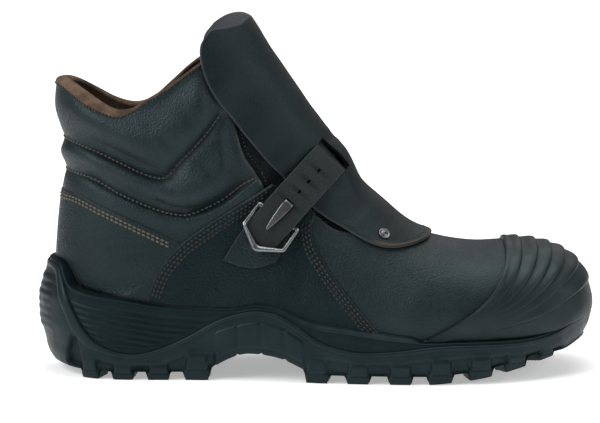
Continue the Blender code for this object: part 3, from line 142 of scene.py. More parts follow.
def bell(away, width):
    # 1 in the middle, 1/e at width
    return np.exp(-(away / width) ** 2)


def atLeast(least, share):
    # from least to 1 as the share goes from 0 to 1
    return least + (1 - least) * share


def unit(vectors):
    return vectors / np.maximum(np.linalg.norm(vectors, axis=-1, keepdims=True), 1e-9)


lastSection = len(upperForm["rows"]) - 1


def sectionAt(u):
    values = rowCurve(upperForm["rows"], u)
    return {name: values[..., k] for k, name in enumerate(upperForm["columns"])}


def sideView(u, h):
    # chord of the section from back to front, less its sag
    row = sectionAt(u)
    runX, runZ = row["frontX"] - row["backX"], row["frontZ"] - row["backZ"]
    length = np.hypot(runX, runZ)
    bump = np.sin(math.pi * np.clip(h, 0, 1) ** row["skew"]).clip(0) ** upperForm["sagPower"]
    x = row["backX"] + runX * h + runZ / length * row["sag"] * bump
    z = row["backZ"] + runZ * h - runX / length * row["sag"] * bump
    return x, z


def skinPoint(u, h, side):
    # half width times a rounded share: an arch from the belly up to the ridge, an ellipse from it down to the foot
    row = sectionAt(u)
    x, z = sideView(u, h)
    belly, foot = row["belly"], np.clip(row["foot"], 0, 1)
    above = np.clip((h - belly) / (1 - belly), 0, 1)
    below = np.clip((belly - h) / belly, 0, 1)
    rounded = (1 - above ** row["crown"]) ** (1 / row["crown"])
    tucked = foot + (1 - foot) * np.sqrt(1 - below ** 2)
    width = np.where(np.asarray(side) < 0, row["outer"], row["inner"])
    y = row["centre"] + side * width * np.where(h > belly, rounded, tucked)
    return np.stack(np.broadcast_arrays(x, y, z), axis=-1)


def skinNormal(u, h, side):
    # cross product of the skin's two directions, outward on both sides
    stepU, stepH = skinSet["normalStep"]
    along = skinPoint(np.asarray(u) + stepU, h, side) - skinPoint(np.asarray(u) - stepU, h, side)
    across = skinPoint(u, np.clip(h + stepH, 0, 1), side) - skinPoint(u, np.clip(h - stepH, 0, 1), side)
    return unit(np.cross(along, across) * np.asarray(side, float)[..., None])


def lifted(u, h, side, lift):
    # skin moved along its normal
    side = np.asarray(side, float) * np.ones_like(u)
    return skinPoint(u, h, side) + np.asarray(lift, float)[..., None] * skinNormal(u, h, side)


netU, netH = np.meshgrid(np.linspace(0, lastSection, skinSet["net"][0]), np.linspace(0, 1, skinSet["net"][1]),
                         indexing="ij")
netX, netZ = (part.ravel() for part in sideView(netU, netH))


def findSkin(x, z):
    # section and share of the skin at a place in the side view: nearest net point, then Newton steps
    x, z = np.broadcast_arrays(np.asarray(x, float), np.asarray(z, float))
    shape = x.shape
    x, z = x.ravel(), z.ravel()
    batches = len(x) // skinSet["batch"] + 1
    nearest = np.concatenate([np.argmin((a[:, None] - netX) ** 2 + (c[:, None] - netZ) ** 2, axis=1)
                              for a, c in zip(np.array_split(x, batches), np.array_split(z, batches))])
    u, h = netU.ravel()[nearest], netH.ravel()[nearest]
    (probeU, probeH), (limitU, limitH) = skinSet["probe"], skinSet["stepLimit"]
    for _ in range(skinSet["newtonSteps"]):
        atX, atZ = sideView(u, h)
        stepX, stepZ = sideView(u + probeU, h)
        shareX, shareZ = sideView(u, h + probeH)
        a, c = (stepX - atX) / probeU, (stepZ - atZ) / probeU
        b, d = (shareX - atX) / probeH, (shareZ - atZ) / probeH
        det = a * d - b * c
        det = np.where(np.abs(det) < tiny, tiny, det)
        missX, missZ = x - atX, z - atZ
        u = np.clip(u + np.clip((d * missX - b * missZ) / det, -limitU, limitU), 0, lastSection)
        h = np.clip(h + np.clip((a * missZ - c * missX) / det, -limitH, limitH), 0, 1)
    return u.reshape(shape), h.reshape(shape)


# mesh helpers

meshSet = {"merge": 2e-6, "dissolve": 1e-6, "sharp": 35}  # metres, metres, degrees


def gridQuads(rows, columns, wrapRows=False, wrapColumns=False):
    i = np.arange(rows if wrapRows else rows - 1)[:, None]
    j = np.arange(columns if wrapColumns else columns - 1)[None, :]
    below, beside = (i + 1) % rows, (j + 1) % columns
    corners = (i * columns + j, i * columns + beside, below * columns + beside, below * columns + j)
    return np.stack(np.broadcast_arrays(*corners), axis=-1).reshape(-1, 4)


def ringCaps(starts, count):
    # quads straight across the rings of count points that begin at the starts
    k = np.arange(count // 2 - 1)
    corners = (k, k + 1, count - 2 - k, count - 1 - k)
    return np.concatenate([np.stack(corners, axis=-1) + start for start in starts])


def newObject(name, data):
    made = bpy.data.objects.new(name, data)
    bpy.context.scene.collection.objects.link(made)
    return made


def cleanMesh(mesh):
    # doubles merged, slivers dissolved, faces turned outward
    bm = bmesh.new()
    bm.from_mesh(mesh)
    bmesh.ops.remove_doubles(bm, verts=bm.verts, dist=meshSet["merge"])
    bmesh.ops.dissolve_degenerate(bm, edges=bm.edges, dist=meshSet["dissolve"])
    bmesh.ops.recalc_face_normals(bm, faces=bm.faces)
    bm.to_mesh(mesh)
    bm.free()


def addPiece(name, points, faces, look, node=None, marks=None):
    # mesh of quads in the shoe's place; the points that no quad uses are left out
    points = np.asarray(points, float).reshape(-1, 3)
    used, faces = np.unique(faces, return_inverse=True)
    mesh = bpy.data.meshes.new(name)
    mesh.vertices.add(len(used))
    mesh.vertices.foreach_set("co", ((points[used] + shoeShift) * mm).ravel())
    mesh.loops.add(faces.size)
    mesh.loops.foreach_set("vertex_index", faces.ravel().astype(np.int32))
    mesh.polygons.add(faces.size // 4)
    mesh.polygons.foreach_set("loop_start", np.arange(0, faces.size, 4, dtype=np.int32))
    for key, values in (marks or {}).items():
        mesh.attributes.new(key, "FLOAT", "POINT").data.foreach_set("value", np.asarray(values, float).ravel()[used])
    mesh.update(calc_edges=True)
    mesh.validate()
    cleanMesh(mesh)
    mesh.shade_smooth()
    mesh.materials.append(look)
    piece = newObject(name, mesh)
    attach(piece, "root")
    if node:
        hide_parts(node)
    return piece


def addShell(name, outer, inner, look, slot, node=None, marks=None, quads=None):
    # outer quads, the same quads turned round on the inner layer, and a strip along every open edge;
    # each mark has its values for the outer and the inner layer
    rows, columns = outer.shape[:2]
    count = rows * columns
    quads = gridQuads(rows, columns) if quads is None else quads
    starts, ends = quads.ravel(), np.roll(quads, -1, axis=1).ravel()
    free = ~np.isin(starts * count + ends, ends * count + starts)
    a, b = starts[free], ends[free]
    faces = np.concatenate([quads, quads[:, ::-1] + count, np.stack([b, a, a + count, b + count], axis=-1)])
    points = np.concatenate([outer.reshape(-1, 3), inner.reshape(-1, 3)])
    marks = {key: np.concatenate([np.ravel(layer) for layer in layers]) for key, layers in (marks or {}).items()}
    return addPiece(name, points, faces, look, node, marks)


def cutAway(piece, middle, axes, outline, reach):
    # exact Boolean with a throwaway prism: a flat outline along two axes, from -reach to reach along the third
    ring = middle + np.asarray(outline, float) @ np.array(axes[:2])
    points = np.concatenate([ring - axes[2] * reach, ring + axes[2] * reach])
    count = len(ring)
    faces = [tuple(range(count)), tuple(range(2 * count - 1, count - 1, -1))]
    faces += [(k, (k + 1) % count, count + (k + 1) % count, count + k) for k in range(count)]
    mesh = bpy.data.meshes.new("cutter")
    mesh.from_pydata(((points + shoeShift) * mm).tolist(), [], faces)
    cleanMesh(mesh)
    cutter = newObject("cutter", mesh)
    cut = piece.modifiers.new("cut", "BOOLEAN")
    cut.object, cut.operation, cut.solver = cutter, "DIFFERENCE", "EXACT"
    shown = piece.evaluated_get(bpy.context.evaluated_depsgraph_get())
    result = bpy.data.meshes.new_from_object(shown)
    piece.modifiers.clear()
    old, piece.data = piece.data, result
    result.name = piece.name
    result.set_sharp_from_angle(angle=math.radians(meshSet["sharp"]))
    piece.modifiers.new("evenShading", "WEIGHTED_NORMAL").keep_sharp = True
    bpy.data.objects.remove(cutter)
    bpy.data.meshes.remove(mesh)
    bpy.data.meshes.remove(old)


def lengthAlong(line, power=1):
    # running sum of the steps' lengths
    return np.concatenate([[0], np.cumsum(np.linalg.norm(np.diff(line, axis=0), axis=1) ** power)])


def readAlong(at, steps, values):
    return np.column_stack([np.interp(at, steps, column) for column in values.T])


def crowded(count, pull=0.0):
    # 0 to 1, with steps that shrink towards both ends as pull goes to 1
    t = np.linspace(0, 1, count)
    return (1 - pull) * t + pull * (0.5 - 0.5 * np.cos(math.pi * t))


def spaced(line, count, pull=0.0, fineSteps=400):
    # even steps along a smooth curve through the line; pull crowds them towards both ends
    line = np.array(line, float)
    steps = lengthAlong(line)
    fine = curveAt(np.column_stack([steps, line]), np.linspace(0, steps[-1], fineSteps), steady=False)
    length = lengthAlong(fine)
    return readAlong(crowded(count, pull) * length[-1], length, fine)


def patch(bottom, top, rear, front, f, g):
    # surface between four border lines: sum of the two ruled surfaces less the bilinear one of the corners
    f, g = f[:, None, None], g[None, :, None]
    along = (1 - f) * bottom[None] + f * top[None]
    across = (1 - g) * rear[:, None] + g * front[:, None]
    corners = (1 - f) * ((1 - g) * bottom[0] + g * bottom[-1]) + f * ((1 - g) * top[0] + g * top[-1])
    return along + across - corners


def bothSides(*halves):
    # half grids of the outer side run on as their mirror image beyond the last column; the side comes last
    count = halves[0].shape[1]
    whole = [np.concatenate([half, half[:, -2::-1]], axis=1) for half in halves]
    return *whole, np.broadcast_to(np.where(np.arange(2 * count - 1) < count, -1.0, 1.0), whole[0].shape)


def roundedEdge(away, radius):
    # quarter circle: 0 on the edge, 1 from the radius inward
    return np.sqrt(1 - (1 - np.clip(away / radius, 0, 1)) ** 2)


def evened(points, passes):
    # each inner row moves to a quarter of both neighbours and half of itself
    for _ in range(passes):
        points[1:-1] = 0.25 * points[:-2] + 0.5 * points[1:-1] + 0.25 * points[2:]
    return points


def borderDistance(points):
    # rough distance of each grid point from the nearest border, summed along rows and columns
    def run(axis):
        steps = np.linalg.norm(np.diff(points, axis=axis), axis=-1)
        zero = np.zeros_like(np.take(steps, [0], axis=axis))
        before = np.concatenate([zero, np.cumsum(steps, axis=axis)], axis=axis)
        return np.minimum(before, np.take(before, [-1], axis=axis) - before)
    return np.minimum(run(0), run(1))


# materials: every pattern reads object coordinates in metres, so scales are cells per metre; bump depths are mm

def newLook(name):
    look = bpy.data.materials.new(name)
    look.use_nodes = True
    nodes = look.node_tree.nodes
    return look, nodes["Principled BSDF"], nodes.new("ShaderNodeTexCoord").outputs["Object"]


def setInputs(look, node, inputs):
    # numbers and colours go straight into a socket, another node's output is linked to it
    for key, value in inputs.items():
        if isinstance(value, bpy.types.NodeSocket):
            look.node_tree.links.new(value, node.inputs[key])
        else:
            node.inputs[key].default_value = (*value, 1.0) if isinstance(value, tuple) else value


def addNode(look, kind, output, inputs, **choices):
    node = look.node_tree.nodes.new("ShaderNode" + kind)
    for key, value in choices.items():
        setattr(node, key, value)
    setInputs(look, node, inputs)
    return node.outputs[output]


def noise(look, place, scale, detail=4.0, roughness=0.55):
    return addNode(look, "TexNoise", "Fac", {"Vector": place, "Scale": scale, "Detail": detail,
                                             "Roughness": roughness})


def ramp(look, value, low, high, first=0.0, second=1.0):
    return addNode(look, "MapRange", "Result", {"Value": value, "From Min": low, "From Max": high, "To Min": first,
                                                "To Max": second}, interpolation_type="SMOOTHSTEP")


def mix(look, share, first, second):
    # 6, 7 and 2 are the node's colour sockets
    return addNode(look, "Mix", 2, {"Factor": share, 6: first, 7: second}, data_type="RGBA")


def bump(look, height, depth, strength, below=None):
    inputs = {"Height": height, "Distance": depth * mm, "Strength": strength}
    return addNode(look, "Bump", "Normal", {**inputs, "Normal": below} if below else inputs)


def mottled(look, place, tones, scale, detail, low, high, roughness=0.55):
    # two close tones in soft patches
    return mix(look, ramp(look, noise(look, place, scale, detail, roughness), low, high), *tones)


tealGloss, paleGloss = (0.62, 0.94, 1.0), (0.71, 0.95, 1.0)
lookSet = {
    # patches of two tones: scale, detail, lowest and highest noise, roughness of the noise
    "leatherPatches": (38, 3, 0.36, 0.68), "rubberPatches": (55, 4, 0.3, 0.75),
    "suedePatches": (90, 5, 0.35, 0.7, 0.6), "metalStain": (160, 5, 0.4, 0.75),
    # noise: scale, or share of the leather's grain, detail, roughness
    "crinkle": (0.5, 5, 0.6), "fine": (1.9, 3), "waves": (130, 4), "spark": (1500, 2), "nap": (1900, 3, 0.7),
    "wear": (420, 4), "twist": (1600, 2), "pebbleSmooth": 0.45,
    # bumps: depth, or share of the grain's depth, and strength
    "pebbleBump": (1.0, 0.8), "crinkleBump": (0.45, 0.6), "fineBump": (0.35, 0.6), "waveBump": (0.25, 0.5),
    "sparkBump": (0.05, 0.5), "napBump": (0.25, 0.8), "wearBump": (0.01, 0.3), "twistBump": (0.1, 0.6),
    "leatherRough": (0.3, 0.72), "rough": (0.3, 0.7),  # noise between the ends of a roughness
    "suede": {"Roughness": 0.95, "Specular IOR Level": 0.15, "Sheen Weight": 0.35, "Sheen Roughness": 0.5},
    "threadRoughness": 0.75,
}


def leatherLook(name, tones, edge, grain, depth, gloss, specular, tint=paleGloss, **marks):
    # pebble cells with fine crinkle between them; the cut edge and other marks on the mesh bring their own colours
    look, shader, place = newLook(name)
    colour = mottled(look, place, tones, *lookSet["leatherPatches"])
    for mark, tone in {"cutEdge": edge, **marks}.items():
        colour = mix(look, addNode(look, "Attribute", "Fac", {}, attribute_name=mark), colour, tone)
    pebble = addNode(look, "TexVoronoi", "Distance", {"Vector": place, "Scale": grain,
                                                      "Smoothness": lookSet["pebbleSmooth"]}, feature="SMOOTH_F1")
    crinkle, fine = (noise(look, place, grain * share, *rest)
                     for share, *rest in (lookSet["crinkle"], lookSet["fine"]))
    normal = None
    for height, key in ((pebble, "pebbleBump"), (crinkle, "crinkleBump"), (fine, "fineBump")):
        share, strength = lookSet[key]
        normal = bump(look, height, depth * share, strength, normal)
    setInputs(look, shader, {"Base Color": colour, "Specular IOR Level": specular, "Specular Tint": tint,
                             "Roughness": ramp(look, crinkle, *lookSet["leatherRough"], *gloss), "Normal": normal})
    return look


def rubberLook(name, tones, gloss, specular, tint=paleGloss):
    # satin moulded rubber: faint mottling, fine spark texture over soft waves
    look, shader, place = newLook(name)
    waves, spark = (noise(look, place, *lookSet[key]) for key in ("waves", "spark"))
    normal = bump(look, waves, *lookSet["waveBump"], bump(look, spark, *lookSet["sparkBump"]))
    setInputs(look, shader, {"Base Color": mottled(look, place, tones, *lookSet["rubberPatches"]),
                             "Roughness": ramp(look, waves, *lookSet["rough"], *gloss),
                             "Specular IOR Level": specular, "Specular Tint": tint, "Normal": normal})
    return look


def suedeLook(name, tones):
    # napped lining: short fibres as fine noise, brushed patches lighter than the rest
    look, shader, place = newLook(name)
    nap = noise(look, place, *lookSet["nap"])
    setInputs(look, shader, {"Base Color": mottled(look, place, tones, *lookSet["suedePatches"]), **lookSet["suede"],
                             "Sheen Tint": tones[1], "Normal": bump(look, nap, *lookSet["napBump"])})
    return look


def metalLook(name, tones, gloss):
    # plated metal: base colour with faint stain, wear in the roughness
    look, shader, place = newLook(name)
    wear = noise(look, place, *lookSet["wear"])
    setInputs(look, shader, {"Base Color": mottled(look, place, tones, *lookSet["metalStain"]), "Metallic": 1.0,
                             "Roughness": ramp(look, wear, *lookSet["rough"], *gloss),
                             "Normal": bump(look, wear, *lookSet["wearBump"])})
    return look


def threadLook(name, tones):
    # twisted thread: fine fibres from noise, matte
    look, shader, place = newLook(name)
    twist = noise(look, place, *lookSet["twist"])
    setInputs(look, shader, {"Base Color": mix(look, twist, *tones), "Roughness": lookSet["threadRoughness"],
                             "Normal": bump(look, twist, *lookSet["twistBump"])})
    return look


# leathers: two tones, cut edge, grain, its depth, roughness from and to, specular level
looks = {
    "upper": leatherLook("upperLook", ((0.0044, 0.0078, 0.0086), (0.0096, 0.0142, 0.0152)), (0.035, 0.038, 0.037),
                         1000, 0.27, (0.4, 0.56), 0.29),
    # the quarter's edge tone is far lighter than its leather: partly the cut edge's own colour, partly a painted
    # highlight of light catching the edge
    "quarter": leatherLook("quarterLook", ((0.0016, 0.0036, 0.0045), (0.0036, 0.0068, 0.0080)), (0.03, 0.031, 0.03),
                           900, 0.44, (0.38, 0.56), 0.19, tealGloss),
    "counter": leatherLook("counterLook", ((0.0026, 0.0051, 0.0056), (0.0052, 0.0088, 0.0095)), (0.022, 0.022, 0.02),
                           900, 0.34, (0.4, 0.58), 0.28),
    "flap": leatherLook("flapLook", ((0.0030, 0.0047, 0.0051), (0.0053, 0.0076, 0.0080)), (0.05, 0.052, 0.051),
                        1200, 0.13, (0.46, 0.6), 0.26, flesh=(0.085, 0.085, 0.094), raw=(0.042, 0.033, 0.025)),
    "strap": leatherLook("strapLook", ((0.0020, 0.0034, 0.0037), (0.0040, 0.0058, 0.0060)), (0.035, 0.036, 0.035),
                         1000, 0.24, (0.46, 0.62), 0.19),
    "tongue": leatherLook("tongueLook", ((0.0030, 0.0042, 0.0048), (0.0070, 0.0088, 0.0094)), (0.02, 0.019, 0.018),
                          700, 0.4, (0.55, 0.75), 0.2),
    "outsole": rubberLook("outsoleLook", ((0.0031, 0.0056, 0.0066), (0.0064, 0.0104, 0.0116)), (0.4, 0.54), 0.24,
                          tealGloss),
    "midsole": rubberLook("midsoleLook", ((0.0016, 0.0038, 0.0048), (0.0036, 0.0070, 0.0082)), (0.38, 0.52), 0.17,
                          tealGloss),
    "toeCap": rubberLook("toeCapLook", ((0.0052, 0.0080, 0.0086), (0.0100, 0.0140, 0.0147)), (0.42, 0.56), 0.32),
    "lining": suedeLook("liningLook", ((0.042, 0.027, 0.018), (0.125, 0.082, 0.056))),
    "footbed": suedeLook("footbedLook", ((0.03, 0.019, 0.012), (0.065, 0.042, 0.028))),
    "nickel": metalLook("nickelLook", ((0.18, 0.19, 0.198), (0.13, 0.138, 0.145)), (0.26, 0.32)),
    "prong": metalLook("prongLook", ((0.17, 0.175, 0.178), (0.11, 0.114, 0.116)), (0.28, 0.36)),
    "rivet": metalLook("rivetLook", ((0.16, 0.165, 0.17), (0.07, 0.072, 0.075)), (0.26, 0.4)),
    "paleThread": threadLook("paleThreadLook", ((0.020, 0.021, 0.020), (0.072, 0.074, 0.070))),
    "tanThread": threadLook("tanThreadLook", ((0.046, 0.040, 0.030), (0.125, 0.108, 0.082))),
    "darkThread": threadLook("darkThreadLook", ((0.004, 0.004, 0.004), (0.0125, 0.0118, 0.0105))),
}
print("materials ready")


# upper: outer leather with quilted collar pads and listed creases

upperSet = {
    "leather": 1.5, "rowBands": ((0, 15, 90), (15, 18, 21), (18, collar, 110)),  # first and last section, rows
    "sideColumns": 84, "frontColumns": 14, "crowding": (1.35, 1.8),  # powers that crowd the columns to back and ridge
    "rimTurns": (0.25, 0.5, 0.75, 1.0), "leastTurn": 0.12, "edgeMark": 0.007,
    # quilting lines in the side view, from the back seam to the throat
    "quilting": (((13.6, 131.2), (18, 130), (33.7, 125.2), (46.6, 119.8), (58.2, 114.6), (66, 112), (71.5, 111.6),
                  (75, 113.8), (80.2, 119.8), (89.4, 128.8), (96.2, 136.8), (99.7, 141.5), (103, 146)),
                 ((14.6, 113.4), (18, 112.6), (31.4, 109.8), (46.6, 102.2), (60.5, 96.5), (73.3, 92.4), (83.6, 91.3),
                  (94, 94.8), (104.4, 100), (113.6, 107), (122.3, 112.1))),
    "groove": ((1.3, 2.8), (0.8, 0.8)),  # depth and half width of the wide and the narrow bell
    "puff": (3.4, 3.8, 2.0),  # swell of the top, middle and lowest pad
    "sectionTall": 13, "lowPad": 16,  # height of a section below the rim, width of the lowest pad
    "backShare": (0.0, 0.3), "backFade": (12, 40),  # shares of swell and groove left at the back, x where they end
    "throatFade": (-0.1, -0.02), "padsFrom": (17, 18.6),
    # creases in the side view: start, end, depth (a ridge if negative), half width
    "creases": (((222, 44), (204, 62), 0.5, 4.0), ((232, 40), (216, 64), 0.45, 4.5), ((240, 46), (226, 66), 0.35, 4.0),
                ((30, 140), (52, 131), 0.5, 3.0), ((44, 137), (66, 122), -0.4, 3.2), ((62, 140), (78, 128), 0.5, 3.0),
                ((26, 119), (46, 111), 0.4, 2.6), ((60, 108), (72, 98), 0.7, 2.4), ((66, 110), (84, 98), 0.5, 2.2),
                ((88, 122), (99, 112), 0.5, 2.8), ((80, 150), (88, 140), 0.5, 3.0)),
}
creaseSet = {"sway": 0.06, "ends": (-0.25, 0.25, 0.75, 1.25)}  # shares of a crease's length


def lineDistance(x, z, line):
    # shortest distance from each side-view place to a broken line
    nearest = np.full(np.shape(x), np.inf)
    for (x0, z0), (x1, z1) in zip(line[:-1], line[1:]):
        runX, runZ = x1 - x0, z1 - z0
        t = np.clip(((x - x0) * runX + (z - z0) * runZ) / (runX ** 2 + runZ ** 2), 0, 1)
        nearest = np.minimum(nearest, np.hypot(x - x0 - t * runX, z - z0 - t * runZ))
    return nearest


def creaseRelief(u, h, creases):
    # each crease sinks by its depth times a bell across it, sways by a sine and fades out at both ends
    x, z = sideView(u, h)
    relief = np.zeros_like(x)
    for (x0, z0), (x1, z1), depth, width in creases:
        runX, runZ = x1 - x0, z1 - z0
        length = math.hypot(runX, runZ)
        along = ((x - x0) * runX + (z - z0) * runZ) / length
        across = ((x - x0) * runZ - (z - z0) * runX) / length
        across = across + creaseSet["sway"] * length * np.sin(math.pi * along / length)
        relief -= depth * bell(across, width) * window(along, *(share * length for share in creaseSet["ends"]))
    return relief


def padRelief(u, h):
    # quilting lines sink as a wide and a narrow bell; pads swell as parabolas of the share of the way between lines
    x, z = sideView(u, h)
    lines = [np.array(line) for line in upperSet["quilting"]]
    toUpper, toLower = (lineDistance(x, z, line) for line in lines)
    overUpper, overLower = (z > np.interp(x, *line.T) for line in lines)
    toRim = upperSet["sectionTall"] * np.maximum(collar - u, 0)
    shares = (toUpper / (toUpper + toRim + tiny), toUpper / (toUpper + toLower + tiny),
              np.clip(toLower / upperSet["lowPad"], 0, 1))
    swell = [4 * rise * share * (1 - share) for rise, share in zip(upperSet["puff"], shares)]
    swell = np.where(overUpper, swell[0], np.where(overLower, swell[1], swell[2]))
    swell = swell * (1 - fade(h - curveAt(upperForm["throatEdge"], u)[..., 0], *upperSet["throatFade"]))
    sunk = sum(depth * bell(away, half) for away in (toUpper, toLower) for depth, half in upperSet["groove"])
    ahead = fade(x, *upperSet["backFade"])
    swellShare, sunkShare = (atLeast(share, ahead) for share in upperSet["backShare"])
    return (swell * swellShare - sunk * sunkShare) * fade(u, *upperSet["padsFrom"])


def netRows(bands):
    # rows of each band, and one exactly at the foot of the throat
    return np.unique(np.round(np.concatenate([np.linspace(*band) for band in bands] + [[upperForm["throatRow"]]]), 6))


def upperNet(rows, sideColumns, frontColumns):
    # columns from the outer back over the ridge to the inner back; the throat's edge moves with the section, and the
    # rim rises by a table of the share of the way to it
    edge = curveAt(upperForm["throatEdge"], rows)
    toBack, toRidge = upperSet["crowding"]
    sideShare = edge * np.linspace(0, 1, sideColumns + 1) ** toBack
    frontShare = 1 - (1 - edge) * np.linspace(1, 0, frontColumns + 1) ** toRidge
    h, side = bothSides(np.concatenate([sideShare, frontShare[:, 1:]], axis=1))
    rise = curveAt(upperForm["rimRise"], np.clip(h / edge, 0, 1))
    rise = np.where(side > 0, rise[..., 1], rise[..., 0])
    return rows[:, None] + rise * fade(rows, upperForm["rimRiseFrom"], collar)[:, None], h, side


def withRim(rows, extra):
    # numbers for the rows that go on past the rim
    return np.concatenate([rows, collar + skinSet["rowStep"] * np.arange(1, extra + 1)])


def upperQuads(rows, columns, sideColumns):
    # grid quads without the throat; the two back columns are one seam from the heel up
    quads = gridQuads(len(rows), columns)
    i, j = quads[:, 0] // columns, quads[:, 0] % columns
    above = rows[i] >= upperForm["throatRow"] - skinSet["rowStep"]
    throat = (j >= sideColumns) & (j < columns - 1 - sideColumns) & above
    number = np.arange(len(rows) * columns).reshape(len(rows), columns)
    seam = rows >= upperForm["heelBack"] - tiny
    number[seam, -1] = number[seam, 0]
    return number.ravel()[quads[~throat]]


def wallAt(u, h):
    # thickness of the wall: thin beside the throat and at the toe, padded behind
    edge = upperForm["edgeWall"]
    padded = (1 - fade(h, *upperForm["edgeWallShare"])) * fade(u, *upperForm["paddedFrom"])
    return edge + (sectionAt(u)["wall"] - edge) * padded


def rimRoll(u, h, side, turns, proud):
    # turns about the middle of the wall at the rim: outward by the cosine, upward by a share of the sine
    top, normal = skinPoint(u, h, side), skinNormal(u, h, side)
    step = skinSet["upStep"]
    upward = skinPoint(u + step, h, side) - skinPoint(u - step, h, side)
    upward = unit(upward - normal * np.sum(upward * normal, axis=-1, keepdims=True))
    half = (wallAt(u, h) / 2)[..., None]
    turns = np.asarray(turns, float)[..., None]
    outward = np.cos(turns) * normal + upperForm["rollHeight"] * np.sin(turns) * upward
    return top - normal * half + (half + proud) * outward


def rimEdge(h):
    # where the leather ends: sections below the rim, or a turn up the roll
    at = curveAt(upperForm["liningEdge"], np.clip(h / curveAt(upperForm["throatEdge"], collar)[0], 0, 1))[..., 0]
    return np.maximum(at, 0), np.maximum(-at, 0)


rows = netRows(upperSet["rowBands"])
u, h, side = upperNet(rows, upperSet["sideColumns"], upperSet["frontColumns"])
relief = (padRelief(u, h) + creaseRelief(u, h, upperSet["creases"])) * fade(u, 0, 1)
rim = (u[-1:], h[-1:], side[-1:])
turns = np.array(upperSet["rimTurns"])[:, None] * np.maximum(rimEdge(h[-1])[1], upperSet["leastTurn"])
layers = [np.concatenate([lifted(u, h, side, relief - sunk), rimRoll(*rim, turns, -sunk)])
          for sunk in (0.0, upperSet["leather"])]
rows = withRim(rows, len(turns))
toEdge = curveAt(upperForm["throatEdge"], rows) - np.concatenate([h] + len(turns) * [h[-1:]])
edgeMark = bell(toEdge, upperSet["edgeMark"]) * (rows > upperForm["throatRow"])[:, None]
upperLeather = addShell("upperLeather", *layers, looks["upper"], "upper_leather", "upper",
                        {"cutEdge": (edgeMark, edgeMark)}, upperQuads(rows, u.shape[1], upperSet["sideColumns"]))
print("upper leather:", len(upperLeather.data.polygons), "faces")


# lining: inner face of the wall, rolled over the rim as far as the leather

liningSet = {"rowBands": ((0, collar, 90),), "sideColumns": 60, "frontColumns": 10, "turns": 14, "proud": 0.5,
             "thick": 0.9,
             "foldShares": (0.2, 1, 5), "tuck": 0.01,  # shares down the cuff, sections that the end goes on
             "sink": np.array([[0], [0], [0], [0], [0.25], [0.7]])}  # depth of the fold's rows, last one tucked in
rows = netRows(liningSet["rowBands"])
u, h, side = upperNet(rows, liningSet["sideColumns"], liningSet["frontColumns"])
wall = wallAt(u, h)
rim = (u[-1:], h[-1:], side[-1:])
cuff, turn = rimEdge(h[-1])
turns = turn + (math.pi - turn) * np.linspace(1, 0, liningSet["turns"])[1:, None]
cuffDown = np.concatenate([cuff * np.linspace(*liningSet["foldShares"])[:, None], cuff[None] + liningSet["tuck"]])
cuffU = u[-1] - cuffDown
cuffH, cuffSide, cuffTurn = (np.broadcast_to(part, cuffU.shape) for part in (h[-1], side[-1], turn))


def foldRows(proud):
    # down the outside where the lining covers it, else tucked under the leather's edge on the roll
    lift = proud - liningSet["sink"]
    onSkin = lifted(cuffU, cuffH, cuffSide, padRelief(cuffU, cuffH) + lift)
    return np.where((cuff > 0)[:, None], onSkin, rimRoll(*rim, cuffTurn, lift[..., None]))


proud = liningSet["proud"]
layers = [np.concatenate([lifted(u, h, side, sunk - wall), rimRoll(*rim, turns, proud - sunk), foldRows(proud - sunk)])
          for sunk in (0.0, liningSet["thick"])]
rows = withRim(rows, len(layers[0]) - len(rows))
collarLining = addShell("collarLining", *layers, looks["lining"], "insole_felt",
                        quads=upperQuads(rows, u.shape[1], liningSet["sideColumns"]))
print("collar lining:", len(collarLining.data.polygons), "faces")


# leather overlays: grids of side-view places lifted off the skin, with rounded borders

overlaySet = {"rounding": 1.3, "lip": 0.12, "creasesFrom": (1.0, 8.0), "under": -0.7, "mark": 0.55, "pull": 0.6,
              "belowSole": 0.6}  # how far the lower border goes below the sole's top edge
quarterSet = {
    "rear": ((62, 44.5), (65.5, 55), (72, 66), (81, 75.5), (93, 84.5), (107, 93.5), (130.5, 107.5)),
    "front": ((189.5, 27.3), (180, 38), (169.5, 50.5), (159.5, 64), (153.5, 75), (152, 84), (154, 92)),
    "top": ((130.5, 107.5), (138, 102.5), (146, 97.3), (154, 92)),
    "thick": 2.0, "rows": 90, "columns": 130,
    "creases": (((150, 62), (138, 40), 0.4, 4.0), ((128, 84), (108, 66), 0.45, 5.0), ((112, 88), (92, 70), -0.35, 4.0),
                ((134, 58), (112, 46), 0.35, 4.5), ((96, 62), (84, 48), 0.3, 4.0)),
}
counterSet = {
    "front": ((63.8, 44.4), (67.3, 54.8), (73.8, 65.4), (82.4, 74.4)),
    "top": ((13.3, 102), (22, 101), (38, 94.8), (58, 86), (80.2, 75.6), (82.4, 74.4)),
    "low": 62.4, "rim": 10.0, "rimFade": (10, 60), "rows": 70, "columns": 80, "crowding": 1.7,
    "thick": 1.5, "backThick": 0.4, "backFade": (12, 40),  # share of the thickness at the back, x where it ends
    "seam": (0.2, 3.2, 60),  # sections above the heel's back, steps
    "creases": (((58, 80), (40, 70), 0.3, 4.0), ((30, 84), (22, 72), 0.25, 4.0)),
}
# x, height of the outsole's wave edge, height of the midsole's top edge
soleLines = (
    (0, 62.0, 64.0), (5, 61.5, 63.4), (9, 59.0, 61.0), (13, 53.5, 56.0), (17, 46.0, 51.0), (22, 35.5, 49.0),
    (29, 25.0, 47.3), (40, 17.5, 45.5), (54, 15.0, 43.5), (71, 19.0, 40.7), (86, 26.0, 39.6), (100, 34.0, 39.0),
    (112, 38.0, 39.6), (122, 39.7, 41.2), (132, 38.2, 39.8), (146, 30.5, 33.4), (153, 25.5, 31.2),
    (166, 20.0, 29.3), (181, 18.0, 27.3), (200, 19.3, 24.6), (216, 21.3, 23.3), (235, 22.3, 23.7),
    (260, 22.4, 23.8), (280, 24.2, 25.6), (290, 26.8, 28.2), (300, 30.5, 31.9), (310, 33.5, 34.9),
)


